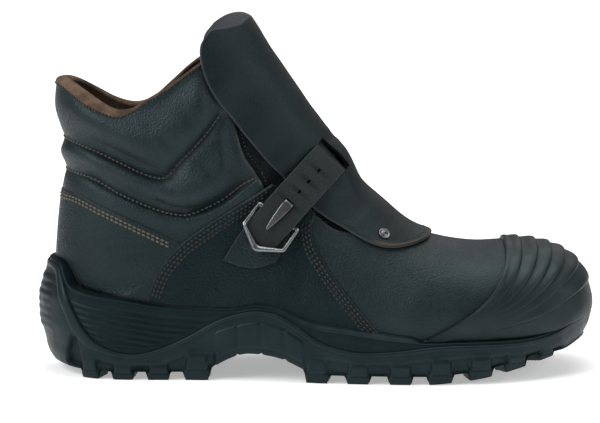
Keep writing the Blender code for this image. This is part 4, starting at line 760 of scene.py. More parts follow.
def addOverlay(name, grid, thick, creases, look, slot, node):
    # outer layer rises in a quarter circle from its borders; the inner layer lies just under the skin
    u, h, side = grid
    away = borderDistance(lifted(u, h, side, 0.0))
    lift = thick * roundedEdge(away + overlaySet["lip"], overlaySet["rounding"])
    lift = lift + creaseRelief(u, h, creases) * fade(away, *overlaySet["creasesFrom"])
    # band along the borders in the leather's edge tone; on the quarters it is partly a painted highlight
    mark = bell(away, overlaySet["mark"])
    addShell(name, lifted(u, h, side, lift), lifted(u, h, side, overlaySet["under"]), look, slot, node,
             {"cutEdge": (mark, mark)})


def quarterGrid():
    # patch between the rear, front and top seams and the sole's top edge
    pull = overlaySet["pull"]
    f, g = crowded(quarterSet["rows"], pull), crowded(quarterSet["columns"], pull)
    rear, front = (spaced(quarterSet[key], len(f), pull) for key in ("rear", "front"))
    x = rear[0, 0] + (front[0, 0] - rear[0, 0]) * g
    bottom = np.column_stack([x, curveAt(soleLines, x)[:, 1] - overlaySet["belowSole"]])
    rear[0], front[0] = bottom[0], bottom[-1]
    grid = patch(bottom, spaced(quarterSet["top"], len(g), pull), rear, front, f, g)
    return findSkin(grid[..., 0], grid[..., 1])


def counterThick(x):
    # thinner towards the back seam
    return counterSet["thick"] * atLeast(counterSet["backThick"], fade(x, *counterSet["backFade"]))


def counterGrid():
    # half grid from the front edge to the back seam, mirrored over the seam
    f, g = crowded(counterSet["rows"], overlaySet["pull"]), np.linspace(0, 1, counterSet["columns"])
    reach = (1 - g) ** counterSet["crowding"]
    front = spaced(counterSet["front"], len(f), overlaySet["pull"])
    backX, backZ = counterSet["top"][0]
    topX = backX + (front[-1, 0] - backX) * reach
    top = np.column_stack([topX, curveAt(counterSet["top"], topX)[:, 0]])
    first, last, steps = counterSet["seam"]
    seamU = np.linspace(upperForm["heelBack"] + first, upperForm["heelBack"] + last, steps)
    seamX, seamZ = sideView(seamU, np.zeros(steps))
    rearZ = counterSet["low"] + (backZ - counterSet["low"]) * f
    rear = np.column_stack([np.interp(rearZ, seamZ, seamX), rearZ])
    lowX = rear[0, 0] + (front[0, 0] - rear[0, 0]) * reach
    rimX = lowX - counterSet["rim"] * (1 - fade(lowX, *counterSet["rimFade"]))
    bottom = np.column_stack([lowX, curveAt(soleLines, rimX)[:, 1] - overlaySet["belowSole"]])
    bottom[-1], top[-1], front[0] = rear[0], rear[-1], bottom[0]
    grid = patch(bottom, top, front, rear, f, g)
    u, h = findSkin(grid[..., 0], grid[..., 1])
    u[:, -1], h[:, -1] = np.interp(rearZ, seamZ, seamU), 0.0
    return bothSides(u, h)


quarter = quarterGrid()
for name, side, node in (("quarterOuter", -1.0, "quarter_outer"), ("quarterInner", 1.0, "quarter_inner")):
    addOverlay(name, (*quarter, side), quarterSet["thick"], quarterSet["creases"], looks["quarter"],
               "quarter_leather", node)
counter = counterGrid()
addOverlay("heelCounter", counter, counterThick(sideView(*counter[:2])[0]), counterSet["creases"], looks["counter"],
           "counter_leather", "heel_counter")
print("quarters and counter ready")


# sole

soleForm = {
    # x, half width on the outer and the inner side
    "outline": ((9, 23.5, 23.5), (25, 36.0, 35.5), (50, 41.0, 40.0), (85, 41.5, 39.5), (120, 44.5, 39.5),
                (155, 50.5, 43.5), (190, 54.5, 49.0), (222, 55.5, 54.0), (252, 52.0, 54.0), (280, 39.5, 46.5),
                (300, 20.0, 30.0)),
    "length": 309.5, "toeY": 5.0, "stations": 420, "pull": 0.5, "fineSteps": 6000,
    # x, tip of the lugs, face between the lugs
    "underside": ((0, 3.0, 7.0), (10, 1.5, 5.8), (22, 0.0, 4.5), (93, 0.0, 4.5), (101, 0.0, 10.0), (118, 0.0, 16.0),
                  (134, 0.0, 14.0), (147, 0.0, 8.5), (155, 0.0, 4.5), (213, 0.0, 4.5), (226, 0.8, 5.3),
                  (245, 3.2, 7.7), (266, 7.8, 12.0), (279, 11.2, 14.6), (291, 13.9, 14.8), (302, 17.2, 17.8),
                  (310, 19.8, 20.4)),
    # height, how far the wall is set in; the side's heights count from the tread, lugDeep below the underside
    "sideInset": ((0, 3.5), (6, 1.2), (12, 0.2), (24, 0.0), (45, 0.9), (64, 2.0)), "lugDeep": 4.5,
    "heelInset": ((0, 9.0), (7, 6.5), (13, 4.0), (18, 3.0), (24, 1.5), (30, 0.2), (42, 0.0), (50, 1.8), (64, 5.6)),
    "toeInset": ((12, 3.6), (20, 2.6), (26, 1.1), (32, 0.0)),
    "heelReach": (6.0, 42.0), "toeReach": (280.0, 302.0), "trayWall": 3.0, "trayFloor": 4.0,
    # bead below the wave edge: how far it stands out, x where it fades out at the toe and at the back with what is
    # left there, height, more height round the heel, growth with the edge's slope, greatest height
    "bead": 1.3, "beadToe": (262, 296, 0.1), "beadBack": (5, 16, 0.3),
    "beadTall": 2.6, "beadHeel": 1.7, "beadHeelReach": (7, 13, 22, 45), "beadSteep": 1.8, "beadMost": 13.0,
    "heelRibs": (24.3, 55.1, 4.4, 0.7),  # first and last height, pitch, depth
    "headingStep": 0.02,  # step along the outline's curve to either side of a point, for its heading
    "heelRibReach": (4.0, 10.0), "heelRibRound": 0.6, "heelRibFade": (2.0, 5.0),
    "waistPanels": ((105, 11), (117.5, 11.5), (130.5, 11.5), (142.5, 9.5)),  # x, width
    "panelEdge": 0.6, "panelHigh": 0.9, "panelFrom": 3.0, "panelTo": 6.0, "panelFade": 1.4,
}
lugSet = {
    # lugs of each side: x, width
    "edge": ((28.5, 11.5), (47.8, 12), (68.2, 12.5), (89, 14), (154.6, 13), (177.2, 13), (200, 13), (222.6, 13.5),
             (244.6, 13.5), (264.8, 13), (283, 11)),
    "middle": ((38.5, 0, 11, 22), (59, 0, 11, 24), (79, 0, 11, 24), (166.5, -2, 12, 34), (190, -1, 12, 44),
               (213, 0, 12, 50), (234, 1, 10, 46)),  # x, y, length, width
    "inward": 19.0, "outward": 12, "soft": 0.7, "proud": 0.8, "recess": 2.4, "near": 14,
    "waveReach": 0.7,  # share of a lug's width to either side, where the wave edge is read
    "belowWave": 5.2, "topMost": (19.0, 60),  # top: drop below the wave edge, most at the heel, x for 1 mm more
    "half": (0.52, 0.07, 0.08), "step": (0.25, 0.42),  # half width at the foot, loss at the step, loss on the way up
    "line": (0.36, 0.5, 0.5), "topFade": (-3.6, 1.4),  # line across: share of the height, half width, depth
    "recessFade": (-4.2, 0.2), "heel": (97, 101), "fore": (147, 150, 291, 297),  # x where the recesses lie
    # slanted front of the smooth heel: x at its top, slope, height of its top, least x, softness
    "notch": (19.5, 0.41, 25, 12.5, 0.8), "notchDeep": 1.5, "notchTo": (20, 24), "notchTop": (21, 25),
    "notchReach": (21, 25),
}


def soleOutline(stations):
    # closed curve through the outline table, read at the same x on both sides; outward from its tangent
    table = np.array(soleForm["outline"], float)
    ring = np.concatenate([[[0.0, 0.0]], np.column_stack([table[:, 0], -table[:, 1]]),
                           [[soleForm["length"], soleForm["toeY"]]], np.column_stack([table[::-1, 0], table[::-1, 2]])])
    wrapped = np.concatenate([ring[-3:], ring, ring[:4]])
    steps = lengthAlong(wrapped, 0.5)
    path = np.column_stack([steps, wrapped])
    toe, count = len(table) + 1, soleForm["fineSteps"]
    places = []
    for first, last in ((3, 3 + toe), (3 + len(ring), 3 + toe)):
        fine = np.linspace(steps[first], steps[last], count)
        xs = np.maximum.accumulate(curveAt(path, fine, False)[:, 0])
        at = np.interp(stations, xs + np.arange(count) * 1e-9, fine)
        at[0], at[-1] = steps[first], steps[last]
        step = soleForm["headingStep"] * (1 if last > first else -1)
        heading = curveAt(path, at + step, False) - curveAt(path, at - step, False)
        places.append((curveAt(path, at, False), heading))
    loop, heading = (np.concatenate([outer, inner[-2:0:-1]]) for outer, inner in zip(*places))
    outward = unit(np.column_stack([heading[:, 1], -heading[:, 0]]))
    return loop, outward * np.sign(np.sum(outward * (loop - loop.mean(axis=0)), axis=1))[:, None]


def wallInset(x, z):
    # tables of the height, blended from the heel's to the side's; the toe's is added
    heel = 1 - fade(x, *soleForm["heelReach"])
    onTread = z - curveAt(soleForm["underside"], x)[..., 1] + soleForm["lugDeep"]
    sidePart = curveAt(soleForm["sideInset"], np.maximum(onTread, 0))[..., 0]
    toePart = fade(x, *soleForm["toeReach"]) * curveAt(soleForm["toeInset"], z)[..., 0]
    return heel * curveAt(soleForm["heelInset"], z)[..., 0] + (1 - heel) * sidePart + toePart


loop, outward = soleOutline(crowded(soleForm["stations"], soleForm["pull"]) * soleForm["length"])
ringCount = len(loop)
ringX = loop[:, 0]
tip, under = curveAt(soleForm["underside"], ringX).T
wave, topEdge = curveAt(soleLines, ringX).T
ringSide = np.where(np.arange(ringCount) < soleForm["stations"], -1, 1)
partner = (ringCount - np.arange(ringCount)) % ringCount
# the bead keeps its width where the edge is steep, and dies out round the toe
steep = curveAt(soleLines, ringX + 0.5)[:, 0] - curveAt(soleLines, ringX - 0.5)[:, 0]
beadTall = soleForm["beadTall"] + soleForm["beadHeel"] * window(ringX, *soleForm["beadHeelReach"])
beadTall = np.minimum(beadTall * np.sqrt(1 + soleForm["beadSteep"] * steep ** 2), soleForm["beadMost"])
(*toeReach, toeLeft), (*backReach, backLeft) = soleForm["beadToe"], soleForm["beadBack"]
beadOut = soleForm["bead"] * atLeast(toeLeft, 1 - fade(ringX, *toeReach)) * atLeast(backLeft, fade(ringX, *backReach))
panels = [softBox(ringX - x, width / 2, soleForm["panelEdge"]) for x, width in soleForm["waistPanels"]]


def soleRow(z, extra):
    # one ring of the wall at heights z, moved outward by extra
    plan = loop + outward * (extra - wallInset(ringX, z))[:, None]
    return np.column_stack([plan, np.broadcast_to(z, ringCount)])


def lugFrames():
    # place, outward and forward direction, width, top and side of each lug at the edge
    frames = []
    for x, width in lugSet["edge"]:
        most, slope = lugSet["topMost"]
        ends = curveAt(soleLines, x + width * lugSet["waveReach"] * np.array([-1, 1]))[:, 0]
        top = min(ends.min() - lugSet["belowWave"], most + x / slope)
        for side in (-1, 1):
            pick = np.flatnonzero(ringSide == side)
            k = pick[np.argmin(np.abs(ringX[pick] - x))]
            forward = np.array([-outward[k, 1], outward[k, 0]])
            frames.append((loop[k], outward[k], forward * np.sign(forward[0]), width, top, side))
    return frames


lugs = lugFrames()
lugLine = np.interp(ringX, [x for x, width in lugSet["edge"]], [lug[4] for lug in lugs[::2]])


def treadMask(plan):
    # 1 on the lugs' tips, 0 between: a soft box in each lug's own directions
    mask = np.zeros(plan.shape[:-1])
    inward, soft = lugSet["inward"], lugSet["soft"]
    for point, normal, forward, width, top, side in lugs:
        out = (plan - point) @ normal
        box = softBox((plan - point) @ forward, width / 2, soft) * fade(out, -inward - soft, -inward + soft)
        mask = np.maximum(mask, box * (out < lugSet["outward"]))
    for x, y, long, wide in lugSet["middle"]:
        mask = np.maximum(mask, softBox(plan[..., 0] - x, long / 2, soft) * softBox(plan[..., 1] - y, wide / 2, soft))
    return mask


def wallRelief(z):
    # lugs as trapezoids that flare at the foot, with one line across, in front of a wall that is set back;
    # raised panels at the waist, ribs as arches of a sine round the heel
    relief, onLug = np.zeros(ringCount), np.zeros(ringCount)
    notchX, slope, notchZ, least, soft = lugSet["notch"]
    notch = np.clip(notchX - slope * (notchZ - z), least, notchX)
    pastNotch = fade(ringX, notch - soft, notch + soft)
    lugged = pastNotch * (1 - fade(ringX, *lugSet["heel"])) + window(ringX, *lugSet["fore"])
    footHalf, stepLoss, upLoss = lugSet["half"]
    lineAt, lineHalf, lineDeep = lugSet["line"]
    for point, normal, forward, width, top, side in lugs:
        along = np.abs((loop - point) @ forward)
        base = np.interp(point[0], ringX[:soleForm["stations"]], tip[:soleForm["stations"]])
        share = np.clip((z - base) / (top - base), 0, 1)
        half = width * (footHalf - stepLoss * fade(share, *lugSet["step"]) - upLoss * share)
        mask = softBox(along, half, lugSet["soft"]) * (1 - fade(z - top, *lugSet["topFade"]))
        mask = mask * ((along < lugSet["near"]) & (ringSide == side))
        onLug = np.maximum(onLug, mask)
        relief += mask * (lugSet["proud"] - lineDeep * bell((share - lineAt) * (top - base), lineHalf))
    reach = lugLine + (notchZ - lugLine) * (1 - fade(ringX, *lugSet["notchReach"]))
    relief -= lugSet["recess"] * lugged * (1 - onLug) * (1 - fade(z - reach, *lugSet["recessFade"]))
    atNotch = pastNotch * (1 - fade(ringX, *lugSet["notchTo"])) * (1 - fade(z, *lugSet["notchTop"]))
    relief -= lugSet["notchDeep"] * atNotch * (1 - onLug)
    low, high, soft = under + soleForm["panelFrom"], wave - soleForm["panelTo"], soleForm["panelFade"]
    relief += soleForm["panelHigh"] * sum(panels) * window(z, low, low + soft, high - soft, high)
    low, high, pitch, depth = soleForm["heelRibs"]
    arches = np.abs(np.sin(math.pi * (z - low) / pitch)) ** soleForm["heelRibRound"] * (z > low) * (z < high)
    return relief + depth * arches * (1 - fade(ringX, *soleForm["heelRibReach"])) \
        * fade(wave - z, *soleForm["heelRibFade"])


outsoleSet = {
    "underRows": 22, "wallRows": 54, "beadRows": 11, "beadRound": 0.7,
    "step": 0.9, "stepFrom": (0.8, 0.9),  # drop of the waist panels below the underside, shares of the way out
    "chamfer": 0.35, "chamferTo": 0.05, "reliefFrom": 0.06,  # lower edge of the wall, shares of the way up
}
edgePlan = loop - outward * wallInset(ringX, tip + 1.0)[:, None]
lowEdge = under - (under - tip) * treadMask(edgePlan)
waistDrop = outsoleSet["step"] * sum(panels)
centre = (edgePlan + edgePlan[partner]) / 2
ringRows = []
for share in np.linspace(0, 1, outsoleSet["underRows"]):
    plan = centre + (edgePlan - centre) * share
    tipHere, underHere = curveAt(soleForm["underside"], plan[:, 0]).T
    z = underHere - (underHere - tipHere) * treadMask(plan) - waistDrop * fade(share, *outsoleSet["stepFrom"])
    ringRows.append(np.column_stack([plan, z]))
for share in np.linspace(0, 1, outsoleSet["wallRows"])[1:]:
    z = lowEdge - waistDrop * (1 - share) + (wave - beadTall - lowEdge) * share
    chamfer = outsoleSet["chamfer"] * (1 - fade(share, 0.0, outsoleSet["chamferTo"]))
    ringRows.append(soleRow(z, wallRelief(z) * fade(share, 0.0, outsoleSet["reliefFrom"]) - chamfer))
for t in np.linspace(0, math.pi, outsoleSet["beadRows"])[1:]:
    out = beadOut * max(math.sin(t), 0) ** outsoleSet["beadRound"]
    ringRows.append(soleRow(wave - beadTall * (1 + math.cos(t)) / 2, out))
floor = under + soleForm["trayFloor"]
ringRows += [soleRow(wave, -soleForm["trayWall"]), soleRow(floor, -soleForm["trayWall"]),
             np.column_stack([centre, floor])]
outsole = addPiece("outsoleTread", np.stack(ringRows), gridQuads(len(ringRows), ringCount, wrapColumns=True),
                   looks["outsole"], "outsole")
print("outsole:", len(outsole.data.polygons), "faces")

midsoleSet = {
    "wallRows": 60, "inner": 10.0, "setBack": 0.4,
    # ribs: drop of the first one below the top edge, pitch, height, softness of their start, x where they begin,
    # x plus a share of the drop where they run out, height of the wall that they need
    "ribs": (6.0, 3.3, 0.75), "ribStart": (-0.4, 0.6), "ribBottom": (1.0, 3.0), "ribFrom": (10, 16),
    "ribTo": (84, 112), "ribSlant": 0.9, "ribRoom": (3, 8), "band": 0.55, "bandEnd": (-2.2, -0.2),
    "foot": ((1.0, -2.6), (0.4, -0.5)), "wallFrom": 0.2, "lipTall": 0.7, "leastWall": 0.05,
    "lip": ((0.5, -0.5), (0.1, -0.9), (0.0, -1.5)),  # drop below the edge, how far it stands out
    # hollow above the lip: climb, rows, depth inward, power, share of the climb at the heel, x where it grows and lies
    "climb": 3.0, "climbRows": 8, "climbIn": 4.5, "climbRound": 0.75, "climbHeel": 0.3, "climbGrows": (56, 86),
    "climbReach": (8, 30, 205, 216),
}


def ribRelief(z):
    # ribs as a sine of the drop below the top edge, under a smooth band, from the bead to where they run out
    first, pitch, height = midsoleSet["ribs"]
    drop = topEdge - z
    wavy = 0.5 - 0.5 * np.cos(2 * math.pi * (drop - first) / pitch)
    start = fade(ringX, *midsoleSet["ribFrom"])
    ribbed = fade(drop - first, *midsoleSet["ribStart"]) * fade(z - wave, *midsoleSet["ribBottom"])
    ribbed *= start * (1 - fade(ringX + midsoleSet["ribSlant"] * drop, *midsoleSet["ribTo"]))
    return height * (wavy * ribbed + midsoleSet["band"] * (1 - fade(drop - first, *midsoleSet["bandEnd"])) * start)


ringRows = [soleRow(wave - drop, out) for drop, out in midsoleSet["foot"]]
for share in np.linspace(0, 1, midsoleSet["wallRows"]):
    tall = np.maximum(topEdge - midsoleSet["lipTall"] - wave, midsoleSet["leastWall"])
    z = wave - midsoleSet["wallFrom"] + share * tall
    ringRows.append(soleRow(z, ribRelief(z) * fade(topEdge - wave, *midsoleSet["ribRoom"]) - midsoleSet["setBack"]))
# the top edge is a small round lip, then a hollow that climbs against the leather
ringRows += [soleRow(topEdge - drop, out) for drop, out in midsoleSet["lip"]]
climb = midsoleSet["climb"] * atLeast(midsoleSet["climbHeel"], fade(ringX, *midsoleSet["climbGrows"]))
climb = climb * window(ringX, *midsoleSet["climbReach"])
for share in np.linspace(0, 1, midsoleSet["climbRows"])[1:]:
    out = midsoleSet["lip"][-1][1] - midsoleSet["climbIn"] * share
    ringRows.append(soleRow(topEdge + climb * share ** midsoleSet["climbRound"], out))
ringRows += [soleRow(topEdge, -midsoleSet["inner"]), soleRow(wave - midsoleSet["foot"][0][0], -midsoleSet["inner"])]
midsole = addPiece("midsoleWall", np.stack(ringRows), gridQuads(len(ringRows), ringCount, True, True),
                   looks["midsole"], "midsole")
print("midsole:", len(midsole.data.polygons), "faces")


# toe cap: shingled plates that fan out from a root low on each side

capSet = {
    "rootX": 211.0, "plates": (5.15, 4.62, 4.10, 3.55, 2.98, 2.35, 1.60, 0.16),  # sections of the plates' edges
    "bend": (4.0, 1.2), "lift": ((200, 2.4), (250, 2.4), (275, 2.7), (290, 3.5), (300, 5.0), (308, 5.8)),  # x, top
    "rise": 1.35, "reach": 0.985, "columns": 80, "rowsPerPlate": 18, "pull": 0.75, "crowding": 1.7,
    "climb": (0.18, 0.75), "nose": 0.82,  # height at a plate's rear, shares where it is full and where the nose starts
    "fan": (0.18, 0.62), "rootLift": 0.45, "rootFade": 0.12, "rearRim": (0.7, 0.012, 0.02), "under": -1.2,
    "baseShift": (6.5, 225, 295), "aboveSole": (0.6, 0.2), "apart": 1e-4,
}


def capBase(x):
    # foot of the cap on the sole's top edge, read further forward towards the toe
    shift, start, end = capSet["baseShift"]
    return curveAt(soleLines, x + shift * fade(x, start, end))[..., 1] + capSet["aboveSole"][0]


def capRows():
    # each plate climbs from its rear to a rounded nose, then drops to the next plate
    edges = np.array(capSet["plates"])[:, None]
    share = crowded(capSet["rowsPerPlate"], capSet["pull"])
    rows = (edges[:-1] + (edges[1:] - edges[:-1]) * share).ravel()
    (low, full), start = capSet["climb"], capSet["nose"]
    nose = np.sqrt(1 - np.clip((share - start) / (1 - start), 0, 1) ** 2)
    rises = atLeast(low, fade(share, 0.0, full)) * nose
    return rows - np.linspace(0, capSet["apart"], len(rows)), np.tile(rises, len(edges) - 1)


rows, rises = capRows()
t = 1 - capSet["reach"] * np.linspace(1, 0, capSet["columns"]) ** capSet["crowding"]
front = sectionAt(rows)
share = (capSet["plates"][0] - rows) / (capSet["plates"][0] - capSet["plates"][-1])
bend = capSet["bend"][0] + (capSet["bend"][1] - capSet["bend"][0]) * share
x = capSet["rootX"] + (front["frontX"] - capSet["rootX"])[:, None] * (1 - (1 - t) ** bend[:, None])
z = capBase(x) + (front["frontZ"] - capBase(front["frontX"]))[:, None] * np.sin(t * math.pi / 2)
u, h = findSkin(x, z)
u[:, -1], h[:, -1] = rows, 1.0
top = curveAt(capSet["lift"], x)[..., 0] * atLeast(capSet["rootLift"], fade(t, 0.0, capSet["rootFade"]))
u, h, top, fan, side = bothSides(u, h, top, np.broadcast_to(fade(t, *capSet["fan"]), u.shape))
# a raised rim along the rear edge runs all the way down to the root
rimTall, rimAt, rimWide = capSet["rearRim"]
lift = top - capSet["rise"] * (0.5 + (0.5 - rises[:, None]) * fan) + rimTall * bell(share - rimAt, rimWide)[:, None]
layers = lifted(u, h, side, lift), lifted(u, h, side, capSet["under"])
for layer in layers:
    layer[..., 2] = np.maximum(layer[..., 2], curveAt(soleLines, layer[..., 0])[..., 1] + capSet["aboveSole"][1])
toeCap = addShell("toeCapPlates", *layers, looks["toeCap"], "toe_cap_rubber", "toe_cap")
print("toe cap:", len(toeCap.data.polygons), "faces")


# front flap, tongue and footbed

flapSet = {
    # section on the ridge, rear edge x z, lift
    "rows": ((7.40, 216.5, 74.3, 0.9), (7.70, 206.5, 72.4, 0.9), (8.10, 195.0, 72.0, 0.8), (8.60, 184.0, 75.0, 0.8),
             (9.30, 169.5, 83.0, 1.5), (10.0, 155.0, 92.0, 2.6), (10.7, 143.0, 103.5, 3.9), (12.0, 134.0, 113.0, 2.9),
             (15.5, 127.5, 119.5, 0.7), (19.0, 121.0, 127.5, 0.4), (19.6, 114.5, 135.5, 0.3), (20.1, 107.5, 144.5, 0.3),
             (20.6, 101.0, 152.5, 0.4), (21.2, 96.3, 160.5, 0.6), (22.2, 93.0, 168.5, 0.8), (23.0, 91.2, 176.0, 1.2),
             (23.4, 91.5, 184.0, 1.9), (23.85, 97.0, 191.5, 2.5)),
    "stations": 200, "pull": 0.3, "columns": 60, "thick": 1.9, "edgeThick": 0.3, "rounding": 0.9, "evenings": 6,
    # lift beside the ridge, over the strap on the inner side, rows and distance where that is, fade from the ridge
    "side": 0.8, "over": 5.4, "overRows": (3.4, 4.6, 7.4, 9), "overFrom": (3, 15), "sideFrom": (3, 11),
    "farTop": 3.0, "nearTop": 3.2, "nearTopTo": 0.3, "topRows": 2.4,  # bulge and dip of the top edge, rows of it
    "creasesFrom": (1, 6), "mark": (0.45, 0.4), "rawRows": (2.4, 3.4), "rawWide": 3.2,
    "lip": 0.1,  # height on the edge comes from this far inside it
    "slot": (6.0, 11.0, 21.4, 4.0, 12),  # distance from the ridge, length, width, lift and reach of the cut
    "rivet": (191.0, 78.3),
    "creases": (((182, 96), (166, 84), 0.7, 3.0), ((190, 88), (176, 79), 0.6, 2.6), ((180, 104), (163, 93), 0.5, 3.2),
                ((196, 84), (186, 77), 0.4, 2.2), ((150, 150), (132, 128), 0.35, 5.0),
                ((128, 180), (108, 160), 0.3, 6.0)),
}
tongueSet = {
    # section on the ridge, rear edge x z
    "rows": ((8.0, 197.0, 67.0), (9.0, 177.0, 70.0), (10.0, 156.5, 80.0), (11.0, 141.0, 91.0), (12.5, 131.0, 98.5),
             (16.0, 123.0, 104.5), (19.0, 115.5, 113.5), (20.0, 105.0, 127.0), (21.0, 98.0, 142.0),
             (22.0, 92.0, 157.0), (22.9, 95.5, 167.0), (23.4, 104.0, 178.0)),
    "stations": 80, "columns": 30, "depth": 4.15, "thick": 4.0, "rounding": 6.0, "lip": 0.2, "evenings": 3,
}
insoleSet = {"sections": (0, 13.4), "rows": 70, "columns": 30, "thick": 4.0, "clear": 0.35, "margin": 1.6,
             "heelMargin": (7, 12, 13.4), "cup": 1.5, "cupBelow": 0.6, "edgeDrop": 1.2, "rounding": 2.0, "lip": 0.2}
strapSet = {
    "ridge": 11.5, "direction": (0.679, 0.734), "width": 21.0, "thick": 1.8, "taper": (46.0, 0.05),
    "stations": (110, 70), "crowding": 1.15, "mark": 0.5, "endClose": 0.04,
    # distance from the ridge, lift of the strap's lower face on the outer and the inner side
    "outer": ((0, -2.0), (2, -1.5), (5, 1.2), (8, 3.8), (11, 4.9), (14, 5.1), (20, 5.2), (27, 5.8), (34, 7.0),
              (41, 7.0), (46, 6.7), (49, 6.4), (53, 5.4), (57, 4.65), (60, 4.5), (63, 4.5)),
    "inner": ((0, -2.0), (6, -1.9), (14, -0.6), (20, 1.0), (26, 2.4), (33, 2.8), (56, 3.0)),
    # slits for the prong and the slot that it comes out of: distance from the ridge, length, width
    "holes": ((16.0, 2.6, 1.2), (23.2, 2.6, 1.2), (30.3, 2.6, 1.2), (37.6, 2.2, 5.0)),
    "holeRounding": 0.6, "holeReach": 6.0, "holeSteps": (4, 1),  # steps of a corner and a side
}


def ridgeNet(table, stations, columns, square=0.45):
    # rows from the piece's edge over the ridge to the other edge; steps shrink towards the ridge and the edge:
    # a share of the square, the rest half a cosine wave times the way
    at = rowCurve(table, stations)
    ridge, edgeX, edgeZ = at[:, 0], at[:, 1], at[:, 2]
    front = sectionAt(ridge)
    s = np.linspace(1, 0, columns + 1)
    reach = square * s ** 2 + (1 - square) * (1 - np.cos(math.pi * s)) / 2 * s
    x = front["frontX"][:, None] + (edgeX - front["frontX"])[:, None] * reach
    z = front["frontZ"][:, None] + (edgeZ - front["frontZ"])[:, None] * reach
    u, h = findSkin(x, z)
    u[:, -1], h[:, -1] = ridge, 1.0
    u, h, away, side = bothSides(u, h, np.hypot(x - x[:, -1:], z - z[:, -1:]))
    return u, h, side, away, at


def strapFrame(away, side):
    # skin below the strap at a distance from the ridge: place, normal, and the directions along and across
    ridge = sectionAt(strapSet["ridge"])
    runX, runZ = strapSet["direction"]
    away = np.asarray(away, float)
    u, h = findSkin(ridge["frontX"] - runX * away, ridge["frontZ"] - runZ * away)
    h = np.where(away < tiny, 1.0, h)
    side = np.asarray(side, float) * np.ones_like(u)
    point, normal = skinPoint(u, h, side), skinNormal(u, h, side)
    across = np.array([runZ, 0.0, -runX])
    across = unit(across - normal * np.sum(normal * across, axis=-1, keepdims=True))
    return point, normal, np.cross(across, normal), across


def cutAcross(piece, away, lift, corners, reach):
    # hole through a piece above the strap's path
    point, normal, onward, across = strapFrame(away, -1)
    cutAway(piece, point + normal * lift, (onward, across, np.cross(onward, across)), corners, reach)


def boxCorners(long, wide):
    return [(a * long / 2, c * wide / 2) for a, c in ((-1, -1), (1, -1), (1, 1), (-1, 1))]


lastRow = len(flapSet["rows"]) - 1
stations = crowded(flapSet["stations"], flapSet["pull"]) * lastRow
u, h, side, away, at = ridgeNet(flapSet["rows"], stations, flapSet["columns"])
overStrap = window(stations, *flapSet["overRows"])[:, None] * fade(away, *flapSet["overFrom"])
beside = flapSet["side"] + np.where(side < 0, 0.0, (flapSet["over"] - flapSet["side"]) * overStrap)
lift = beside + (at[:, 3:4] - beside) * (1 - fade(away, *flapSet["sideFrom"]))
border = borderDistance(lifted(u, h, side, lift))
folds = creaseRelief(u, h, flapSet["creases"]) * fade(border, *flapSet["creasesFrom"])
thick = flapSet["thick"] * atLeast(flapSet["edgeThick"], roundedEdge(border + flapSet["lip"], flapSet["rounding"]))
layers = [evened(lifted(u, h, side, high), flapSet["evenings"]) for high in (lift + folds + thick, lift)]
# the last rows: a half sine upward on the inner half, a dip that starts beside the ridge on the outer one
share = away / np.maximum(away.max(axis=1, keepdims=True), tiny)
dip = flapSet["nearTop"] * fade(share, 0, flapSet["nearTopTo"]) * (1 - share)
bulge = np.where(side > 0, flapSet["farTop"] * np.sin(math.pi * share), -dip)
for layer in layers:
    layer[..., 2] += bulge * fade(stations, lastRow - flapSet["topRows"], lastRow)[:, None]
mark = flapSet["mark"][0] * bell(border, flapSet["mark"][1])
raw = (1 - fade(stations, *flapSet["rawRows"]))[:, None] * np.exp(-(border / flapSet["rawWide"]) ** 4)
zero = np.zeros(u.size)
frontFlap = addShell("frontFlap", *layers, looks["flap"], "flap_leather", "flap",
                     {"cutEdge": (mark, mark), "raw": (raw, zero), "flesh": (zero, zero + 1)})
slotAt, slotLong, slotWide, slotLift, slotReach = flapSet["slot"]
cutAcross(frontFlap, slotAt, slotLift, boxCorners(slotLong, slotWide), slotReach)
print("flap:", len(frontFlap.data.polygons), "faces")

stations = np.linspace(0, len(tongueSet["rows"]) - 1, tongueSet["stations"])
u, h, side, away, at = ridgeNet(tongueSet["rows"], stations, tongueSet["columns"])
border = borderDistance(lifted(u, h, side, 0.0))
swell = tongueSet["thick"] / 2 * roundedEdge(border + tongueSet["lip"], tongueSet["rounding"])
depth = -tongueSet["depth"] - tongueSet["thick"] / 2
layers = [evened(lifted(u, h, side, depth + way * swell), tongueSet["evenings"]) for way in (1, -1)]
tonguePad = addShell("tonguePad", *layers, looks["tongue"], "tongue_leather", "tongue")

u = np.linspace(*insoleSet["sections"], insoleSet["rows"])
row = sectionAt(u)
foot = np.clip(row["foot"], 0, 1)
heelMargin, *heelFade = insoleSet["heelMargin"]
margin = row["wall"] + insoleSet["margin"] + heelMargin * fade(u, *heelFade)
low, high = row["centre"] - row["outer"] * foot + margin, row["centre"] + row["inner"] * foot - margin
share = np.linspace(0, 1, insoleSet["columns"])
y = low[:, None] + (high - low)[:, None] * share
cup = insoleSet["cup"] * (2 * share - 1) ** 2
top, bottom = (np.stack(np.broadcast_arrays(row["backX"][:, None], y, row["backZ"][:, None] + height), axis=-1)
               for height in (insoleSet["thick"] + cup, insoleSet["clear"] + insoleSet["cupBelow"] * cup))
rounded = roundedEdge(borderDistance(top) + insoleSet["lip"], insoleSet["rounding"])
top[..., 2] -= insoleSet["edgeDrop"] * (1 - rounded)
addShell("footbed", top, bottom, looks["footbed"], "insole_felt", "insole")
print("tongue and footbed ready")


# strap, buckle, prong, tab and rivets

def roundedSection(half, thick, radius=0.55, steps=5):
    # closed outline of the strap's section: across and up, corners as quarter circles
    turns = np.linspace(0, math.pi / 2, steps)
    corners = []
    for k, (sx, sz) in enumerate(((1, 1), (-1, 1), (-1, -1), (1, -1))):
        a = turns + k * math.pi / 2
        corners.append(np.column_stack([sx * (half - radius) + radius * np.cos(a),
                                        thick / 2 + sz * (thick / 2 - radius) + radius * np.sin(a)]))
    return np.concatenate(corners)


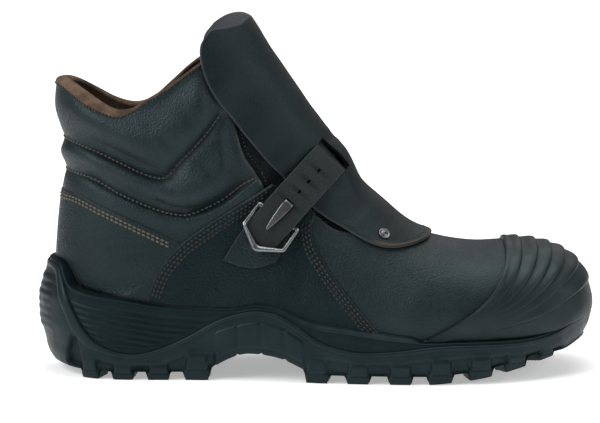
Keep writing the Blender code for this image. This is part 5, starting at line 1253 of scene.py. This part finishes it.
def roundedLoop(corners, radius, cornerSteps=7, sideSteps=10, most=0.45):
    # polygon whose corners are replaced by parabolas that start a radius before and end a radius after each, at most
    # a share of the side
    corners = np.array(corners, float)

    def towards(corner, other):
        return corner + unit(other - corner) * min(radius, most * np.linalg.norm(other - corner))

    t, s = np.linspace(0, 1, cornerSteps)[:, None], np.linspace(0, 1, sideSteps + 2)[1:-1, None]
    loop = []
    for k, corner in enumerate(corners):
        before, after = corners[k - 1], corners[(k + 1) % len(corners)]
        start, end = towards(corner, before), towards(corner, after)
        loop.append((1 - t) ** 2 * start + 2 * t * (1 - t) * corner + t ** 2 * end)
        loop.append(end + (towards(after, corner) - end) * s)
    return np.concatenate(loop)


def addBar(name, rings, look, node, marks=None):
    # rings of points joined along a path and closed at both ends
    count, around = rings.shape[:2]
    faces = [gridQuads(count, around, wrapColumns=True), ringCaps((0, (count - 1) * around), around)]
    return addPiece(name, rings, np.concatenate(faces), look, node, marks)


outerSteps, innerSteps = strapSet["stations"]
way = np.concatenate([np.linspace(-1, 0, outerSteps), np.linspace(0, 1, innerSteps)[1:]])
away = np.where(way < 0, strapSet["outer"][-1][0], strapSet["inner"][-1][0]) * np.abs(way) ** strapSet["crowding"]
point, normal, onward, across = strapFrame(away, np.where(way < 0, -1.0, 1.0))
lift = np.where(way < 0, curveAt(strapSet["outer"], away)[:, 0], curveAt(strapSet["inner"], away)[:, 0])
taper = np.where(way < 0, strapSet["taper"][1] * np.maximum(away - strapSet["taper"][0], 0), 0.0)
halfWide = strapSet["width"] / 2
outline = roundedSection(halfWide, strapSet["thick"])
narrowed = outline[None, :, 0] * (1 - taper / halfWide)[:, None]
rings = point[:, None] + across[:, None] * narrowed[..., None] \
    + normal[:, None] * (lift[:, None] + outline[None, :, 1])[..., None]
close = strapSet["endClose"]
ends = [(ring.mean(axis=0, keepdims=True) * (1 - close) + ring * close)[None] for ring in (rings[0], rings[-1])]
rings = np.concatenate([ends[0], rings, ends[1]])
mark = np.broadcast_to(bell(np.abs(outline[:, 0]) - halfWide, strapSet["mark"]), rings.shape[:2])
strapBand = addBar("strapBand", rings, looks["strap"], "strap", {"cutEdge": mark})
for at, long, wide in strapSet["holes"]:
    corners = roundedLoop(boxCorners(long, wide), strapSet["holeRounding"], *strapSet["holeSteps"])
    cutAcross(strapBand, at, strapSet["holeReach"], corners, strapSet["holeReach"])

buckleSet = {
    "at": 50.0, "middle": (3.0, 0.8), "turn": 7.0, "lift": 6.65, "tilt": 10.5, "thick": 1.8,
    "outline": ((-8.4, -13.7), (7.6, -14.2), (16.2, -1.2), (16.2, 1.2), (7.6, 14.2), (-8.4, 13.7)),
    "hole": ((-5.8, -11.6), (6.6, -12.0), (12.6, -1.0), (12.6, 1.0), (6.6, 12.0), (-5.8, 11.6)),
    "rounding": (1.6, 1.0),
    # section of the frame from its inner to its outer edge and back below: share of the bar, share of half its height
    "bar": ((0.0, -0.5), (0.0, 0.1), (0.08, 0.45), (0.25, 0.75), (0.42, 0.95), (0.5, 1.0), (0.58, 0.95), (0.75, 0.75),
            (0.92, 0.45), (1.0, 0.1), (1.0, -0.5), (0.9, -1.0), (0.1, -1.0)),
}
prongSet = {
    "at": 39.0, "stations": 60, "rounding": (0.16, 4), "tall": 0.9, "footTall": 1.6, "footTo": (-1.2, 1.0),
    # along the strap, lift of the top, width
    "rows": ((-1.9, 7.0, 5.0), (-1.7, 9.6, 5.2), (-0.4, 10.4, 5.2), (3.0, 10.5, 5.2), (10.0, 9.7, 3.7),
             (15.0, 8.8, 2.2), (17.7, 8.2, 1.1)),
}


def buckleAxes():
    # the strap's directions, turned in its plane and tilted up towards the ridge
    point, normal, onward, across = strapFrame(buckleSet["at"], -1)
    turn, tilt = math.radians(buckleSet["turn"]), math.radians(buckleSet["tilt"])
    middle = point + onward * buckleSet["middle"][0] + across * buckleSet["middle"][1] + normal * buckleSet["lift"]
    ahead = onward * math.cos(turn) + across * math.sin(turn)
    across = across * math.cos(turn) - onward * math.sin(turn)
    along = ahead * math.cos(tilt) + normal * math.sin(tilt)
    out = np.cross(along, across)
    out *= np.sign(np.dot(out, normal))
    return middle, along, np.cross(out, along), out


middle, along, across, out = buckleAxes()
outerLoop, innerLoop = (roundedLoop(buckleSet[key], radius)
                        for key, radius in zip(("outline", "hole"), buckleSet["rounding"]))
bar = np.array(buckleSet["bar"])
plan = innerLoop[:, None] + (outerLoop - innerLoop)[:, None] * bar[None, :, :1]
height = bar[None, :, 1:] * buckleSet["thick"] / 2
buckle = middle + plan[..., :1] * along + plan[..., 1:] * across + height * out
addPiece("buckleFrame", buckle, gridQuads(*buckle.shape[:2], True, True), looks["nickel"],
         "buckle_frame")

point, normal, onward, across = strapFrame(prongSet["at"], -1)
run = rowCurve(prongSet["rows"], np.linspace(0, len(prongSet["rows"]) - 1, prongSet["stations"]))
outline = roundedSection(0.5, 1.0, *prongSet["rounding"]) - (0, 1.0)
tall = prongSet["tall"] + prongSet["footTall"] * (1 - fade(run[:, 0], *prongSet["footTo"]))
rings = point + run[:, None, :1] * onward + (outline[None, :, 0] * run[:, 2:3])[..., None] * across \
    + (run[:, 1:2] + outline[None, :, 1] * tall[:, None])[..., None] * normal
addBar("buckleProng", rings, looks["prong"], "buckle_prong")

tabSet = {
    "rear": ((103.5, 66.5), (112, 80), (121, 91.5), (129, 99.6)),
    "front": ((133, 65.6), (136.6, 73.6), (140, 80.5), (143.2, 86.6)),
    "bottom": ((103.5, 66.5), (111, 63.8), (121, 62.2), (133, 65.6)), "top": ((129, 99.6), (143.2, 86.6)),
    "lift": 2.3, "under": 1.6, "thick": 1.5, "edgeThick": 0.2, "rounding": 0.7, "mark": (0.35, 0.5),
    "steps": 50, "pull": 0.5, "lip": 0.1,
}
f = crowded(tabSet["steps"], tabSet["pull"])
borders = [spaced(tabSet[key], len(f), tabSet["pull"]) for key in ("bottom", "top", "rear", "front")]
grid = patch(*borders, f, f)
u, h = findSkin(grid[..., 0], grid[..., 1])
border = borderDistance(lifted(u, h, -1.0, 0.0))
thick = tabSet["thick"] * atLeast(tabSet["edgeThick"], roundedEdge(border + tabSet["lip"], tabSet["rounding"]))
mark = tabSet["mark"][0] * bell(border, tabSet["mark"][1])
addShell("buckleTab", lifted(u, h, -1.0, tabSet["lift"] + thick), lifted(u, h, -1.0, tabSet["under"]),
         looks["counter"], "strap_leather", "buckle_tab", {"cutEdge": (mark, mark)})

rivetSet = {"lift": 3.0, "steps": 40,
            "profile": np.array(((0.02, -0.6), (3.3, -0.6), (3.3, 0.2), (3.15, 0.42), (2.8, 0.5), (2.5, 0.42),
                                 (2.2, 0.3), (1.8, 0.36), (1.3, 0.56), (0.6, 0.66), (0.02, 0.68)))}  # radius, height
u, h = findSkin(*flapSet["rivet"])
turns = np.linspace(0, 2 * math.pi, rivetSet["steps"], endpoint=False)[:, None]
radius, height = rivetSet["profile"].T[..., None, None]
for name, side, node in (("flapRivetOuter", -1.0, "flap_rivet_outer"), ("flapRivetInner", 1.0, "flap_rivet_inner")):
    base, out = skinPoint(u, h, np.array(side)), skinNormal(u, h, np.array(side))
    first = unit(np.cross(out, (0, 0, 1.0)))
    spokes = np.cos(turns) * first + np.sin(turns) * np.cross(out, first)
    points = base + radius * spokes + (height + rivetSet["lift"]) * out
    addPiece(name, points, gridQuads(*points.shape[:2], wrapColumns=True), looks["rivet"], node)
print("strap and buckle ready")


# stitches: one small capsule each, placed by arrays along a row

stitchSet = {
    # stitch, gap, width, rise
    "collarStitches": (1.9, 0.6, 1.3, 0.55), "rimStitches": (1.3, 0.8, 1.3, 0.6),
    "quarterRear": (2.0, 0.7, 1.1, 0.45), "quarterFront": (2.0, 0.7, 1.2, 0.5),
    "counterStitches": (2.3, 0.5, 1.1, 0.5), "gussetStitches": (1.2, 1.0, 0.7, 0.35),
    "flapStitches": (1.5, 0.9, 0.9, 0.35),
    "lengths": np.array([-1.0, -0.86, -0.4, 0.4, 0.86, 1.0]), "girths": np.array([0.06, 0.7, 1.0, 1.0, 0.7, 0.06]),
    "around": 8, "dive": 0.8, "probe": 0.4,
    # distances of the rows to the left of the seam that they follow, rows of the flap's tip
    "rearRows": (-2.2, -4.2, -6.2), "frontRows": (1.8, 3.6, 5.4), "counterRows": (-2.6, -4.4), "flapRow": -2.0,
    "flapTip": 5,
    # points left out at the first and the last end of a row, and how many more for each further row
    "rearEnds": (8, 14, 4), "frontEnds": (8, 12, 4), "tipReach": (6, 150), "rimEnds": (4, 3),
    "seamPoints": 300, "quiltPoints": 500, "tipPoints": 200, "gussetPoints": 400, "rimColumns": 300,
    "counterX": (13.4, 77), "gusset": (10.2, 21.5, 0.02),  # x; sections, share beyond the throat's edge
    "collarLift": 0.25, "rimLift": 0.35, "overlayLift": 0.05, "gussetLift": 0.1,
}


def stitchRow(kind, label, line, normals, thread, slot):
    # points along the line every stitch plus gap; each capsule is stretched along the line and its ends dive
    length, gap, width, rise = stitchSet[kind]
    steps = lengthAlong(line)
    at = np.arange(length / 2, steps[-1] - length / 2, length + gap)
    probe, around = stitchSet["probe"], stitchSet["around"]
    ahead = unit(readAlong(at + probe, steps, line) - readAlong(at - probe, steps, line))
    up = unit(readAlong(at, steps, normals))
    aside = unit(np.cross(up, ahead))
    middle, ahead, up, aside = (part[:, None, None] for part in (readAlong(at, steps, line), ahead, up, aside))
    turns = np.linspace(0, 2 * math.pi, around, endpoint=False)[:, None]
    lengths, girths = (stitchSet[key][:, None, None] for key in ("lengths", "girths"))
    bulge = girths * (np.cos(turns) * width / 2 * aside + np.sin(turns) * rise * up)
    points = middle + lengths * length / 2 * ahead + bulge - lengths ** 4 * rise * stitchSet["dive"] * up
    rings = len(stitchSet["lengths"])
    one = np.concatenate([gridQuads(rings, around, wrapColumns=True), ringCaps((0, (rings - 1) * around), around)])
    quads = one + rings * around * np.arange(len(at))[:, None, None]
    addPiece(kind + label, points, quads.reshape(-1, 4), looks[thread])


def skinLine(u, h, side, lift):
    side = np.asarray(side, float) * np.ones_like(u)
    return lifted(u, h, side, lift), skinNormal(u, h, side)


def inset(line, away):
    # the side-view line moved sideways to its left by away
    heading = unit(np.gradient(line, axis=0))
    return line + away * np.column_stack([-heading[:, 1], heading[:, 0]])


def rimLine(side):
    # edge of the leather at the rim: on the skin where the lining covers it, else on the roll
    columns = stitchSet["rimColumns"]
    back, front = stitchSet["rimEnds"]
    pick = slice(back, columns - front) if side < 0 else slice(front - columns, -back)
    rim = [part[1:, pick] for part in upperNet(np.array([0.0, collar]), columns, 2)]
    u, h = rim[0][0], rim[1][0]
    cuff, turn = rimEdge(h)
    line, normals = skinLine(u - cuff, h, side, padRelief(u - cuff, h) + stitchSet["rimLift"])
    onRoll, inRoll = (rimRoll(*rim, turn[None], proud)[0] for proud in (stitchSet["rimLift"], -1.0))
    onSkin = (cuff > 0)[:, None]
    return np.where(onSkin, line, onRoll), np.where(onSkin, normals, unit(onRoll - inRoll))


def seamRow(kind, label, side, line, thick, thread, slot):
    # a row of stitches along a side-view line on top of a leather of that thickness
    line, normals = skinLine(*findSkin(*line.T), side, thick + stitchSet["overlayLift"])
    stitchRow(kind, label, line, normals, thread, slot)


rear, front = (spaced(quarterSet[key], stitchSet["seamPoints"]) for key in ("rear", "front"))
topX = np.linspace(*stitchSet["counterX"], stitchSet["seamPoints"])
counterTop = np.column_stack([topX, curveAt(counterSet["top"], topX)[:, 0]])
flapTip = spaced([row[1:3] for row in flapSet["rows"][:stitchSet["flapTip"]]], stitchSet["tipPoints"])
tipFirst, tipLast = stitchSet["tipReach"]
for side, label in ((-1, "Outer"), (1, "Inner")):
    for k, quilting in enumerate(upperSet["quilting"]):
        u, h = findSkin(*spaced(quilting, stitchSet["quiltPoints"]).T)
        stitchRow("collarStitches", f"{label}{k}", *skinLine(u, h, side, padRelief(u, h) + stitchSet["collarLift"]),
                  "paleThread", "upper_leather")
    stitchRow("rimStitches", label, *rimLine(side), "darkThread", "upper_leather")
    for kind, seam, key in (("quarterRear", rear, "rear"), ("quarterFront", front, "front")):
        start, end, more = stitchSet[key + "Ends"]
        for k, away in enumerate(stitchSet[key + "Rows"]):
            seamRow(kind, f"{label}{k}", side, inset(seam, away)[start:-end - more * k], quarterSet["thick"],
                    "darkThread", "quarter_leather")
    for k, away in enumerate(stitchSet["counterRows"]):
        line = inset(counterTop, away)
        seamRow("counterStitches", f"{label}{k}", side, line, counterThick(line[:, 0]), "tanThread", "counter_leather")
    # gusset seam on the tongue beside the leather's edge, and the row round the flap's tip
    first, last, beyond = stitchSet["gusset"]
    u = np.linspace(first, last, stitchSet["gussetPoints"])
    h = curveAt(upperForm["throatEdge"], u)[:, 0] + beyond
    stitchRow("gussetStitches", label, *skinLine(u, h, side, stitchSet["gussetLift"] - tongueSet["depth"]),
              "paleThread", "tongue_leather")
    seamRow("flapStitches", label, side, inset(flapTip, stitchSet["flapRow"])[tipFirst:tipLast],
            flapSet["side"] + flapSet["thick"], "darkThread", "flap_leather")
print("stitches ready")


# floor, light and camera

stageSet = {
    "floor": ((0.84, 0.842, 0.845), (0.86, 0.862, 0.865)), "patches": (3, 2, 0.3, 0.7), "roughness": 0.9,
    "half": 12.0, "points": 9,
    "glow": (0.2, 1.4, 0.38, 0.95),  # y where the floor's glow grows, its strength before and behind
    "world": (0.95, 0.97, 1.0), "worldStrength": 0.17,
    # name, place, aim, size, power, colour
    "lights": (("keyLight", (-1.25, -0.9, 1.2), (0.0, 0.0, 0.08), 1.3, 30, (1.0, 1.0, 1.0)),
               ("topLight", (0.1, 0.1, 1.7), (0.02, 0.0, 0.1), 1.3, 21, (1.0, 1.0, 1.0)),
               ("rightLight", (1.4, -0.6, 0.8), (0.05, 0.0, 0.08), 0.9, 9, (1.0, 1.0, 1.0)),
               ("backLight", (0.55, 1.0, 1.0), (0.05, 0.0, 0.1), 1.0, 2.8, (1.0, 0.90, 0.91))),
    "camera": ((-0.008986, -1.599615, 0.320), (-0.008986, 0.000385, 0.088)), "lens": 173.74, "sensor": 36.0,
}
# the floor glows as well as reflecting the lamps: a painted glow, weaker in front of the shoe and stronger behind it,
# which also lightens the shadow under the shoe
floorLook, shader, place = newLook("floorLook")
depthways = addNode(floorLook, "SeparateXYZ", "Y", {"Vector": place})
setInputs(floorLook, shader, {"Base Color": mottled(floorLook, place, stageSet["floor"], *stageSet["patches"]),
                              "Roughness": stageSet["roughness"], "Emission Color": (1.0, 1.0, 1.0),
                              "Emission Strength": ramp(floorLook, depthways, *stageSet["glow"])})
sweep = np.linspace(-1, 1, stageSet["points"]) * stageSet["half"]
sweep = np.stack(np.meshgrid(sweep, sweep, [0.0], indexing="ij"), axis=-1)
mesh = bpy.data.meshes.new("studioFloor")
mesh.from_pydata(sweep.reshape(-1, 3).tolist(), [], gridQuads(stageSet["points"], stageSet["points"]).tolist())
mesh.shade_smooth()
mesh.materials.append(floorLook)
newObject("studioFloor", mesh)

world = bpy.data.worlds.new("studioWorld")
world.use_nodes = True
setInputs(world, world.node_tree.nodes["Background"], {"Color": stageSet["world"],
                                                       "Strength": stageSet["worldStrength"]})
bpy.context.scene.world = world


def aimed(name, data, place, aim):
    holder = newObject(name, data)
    holder.location = place
    holder.rotation_euler = (Vector(aim) - Vector(place)).to_track_quat("-Z", "Y").to_euler()
    return holder


for name, place, aim, size, power, colour in stageSet["lights"]:
    lamp = bpy.data.lights.new(name, "AREA")
    lamp.energy, lamp.size, lamp.color = power, size, colour
    aimed(name, lamp, place, aim)
cameraData = bpy.data.cameras.new("photoCamera")
cameraData.lens, cameraData.sensor_width = stageSet["lens"], stageSet["sensor"]
bpy.context.scene.camera = aimed("photoCamera", cameraData, *stageSet["camera"])
bpy.context.scene.view_settings.view_transform = "Standard"

print("scene ready")
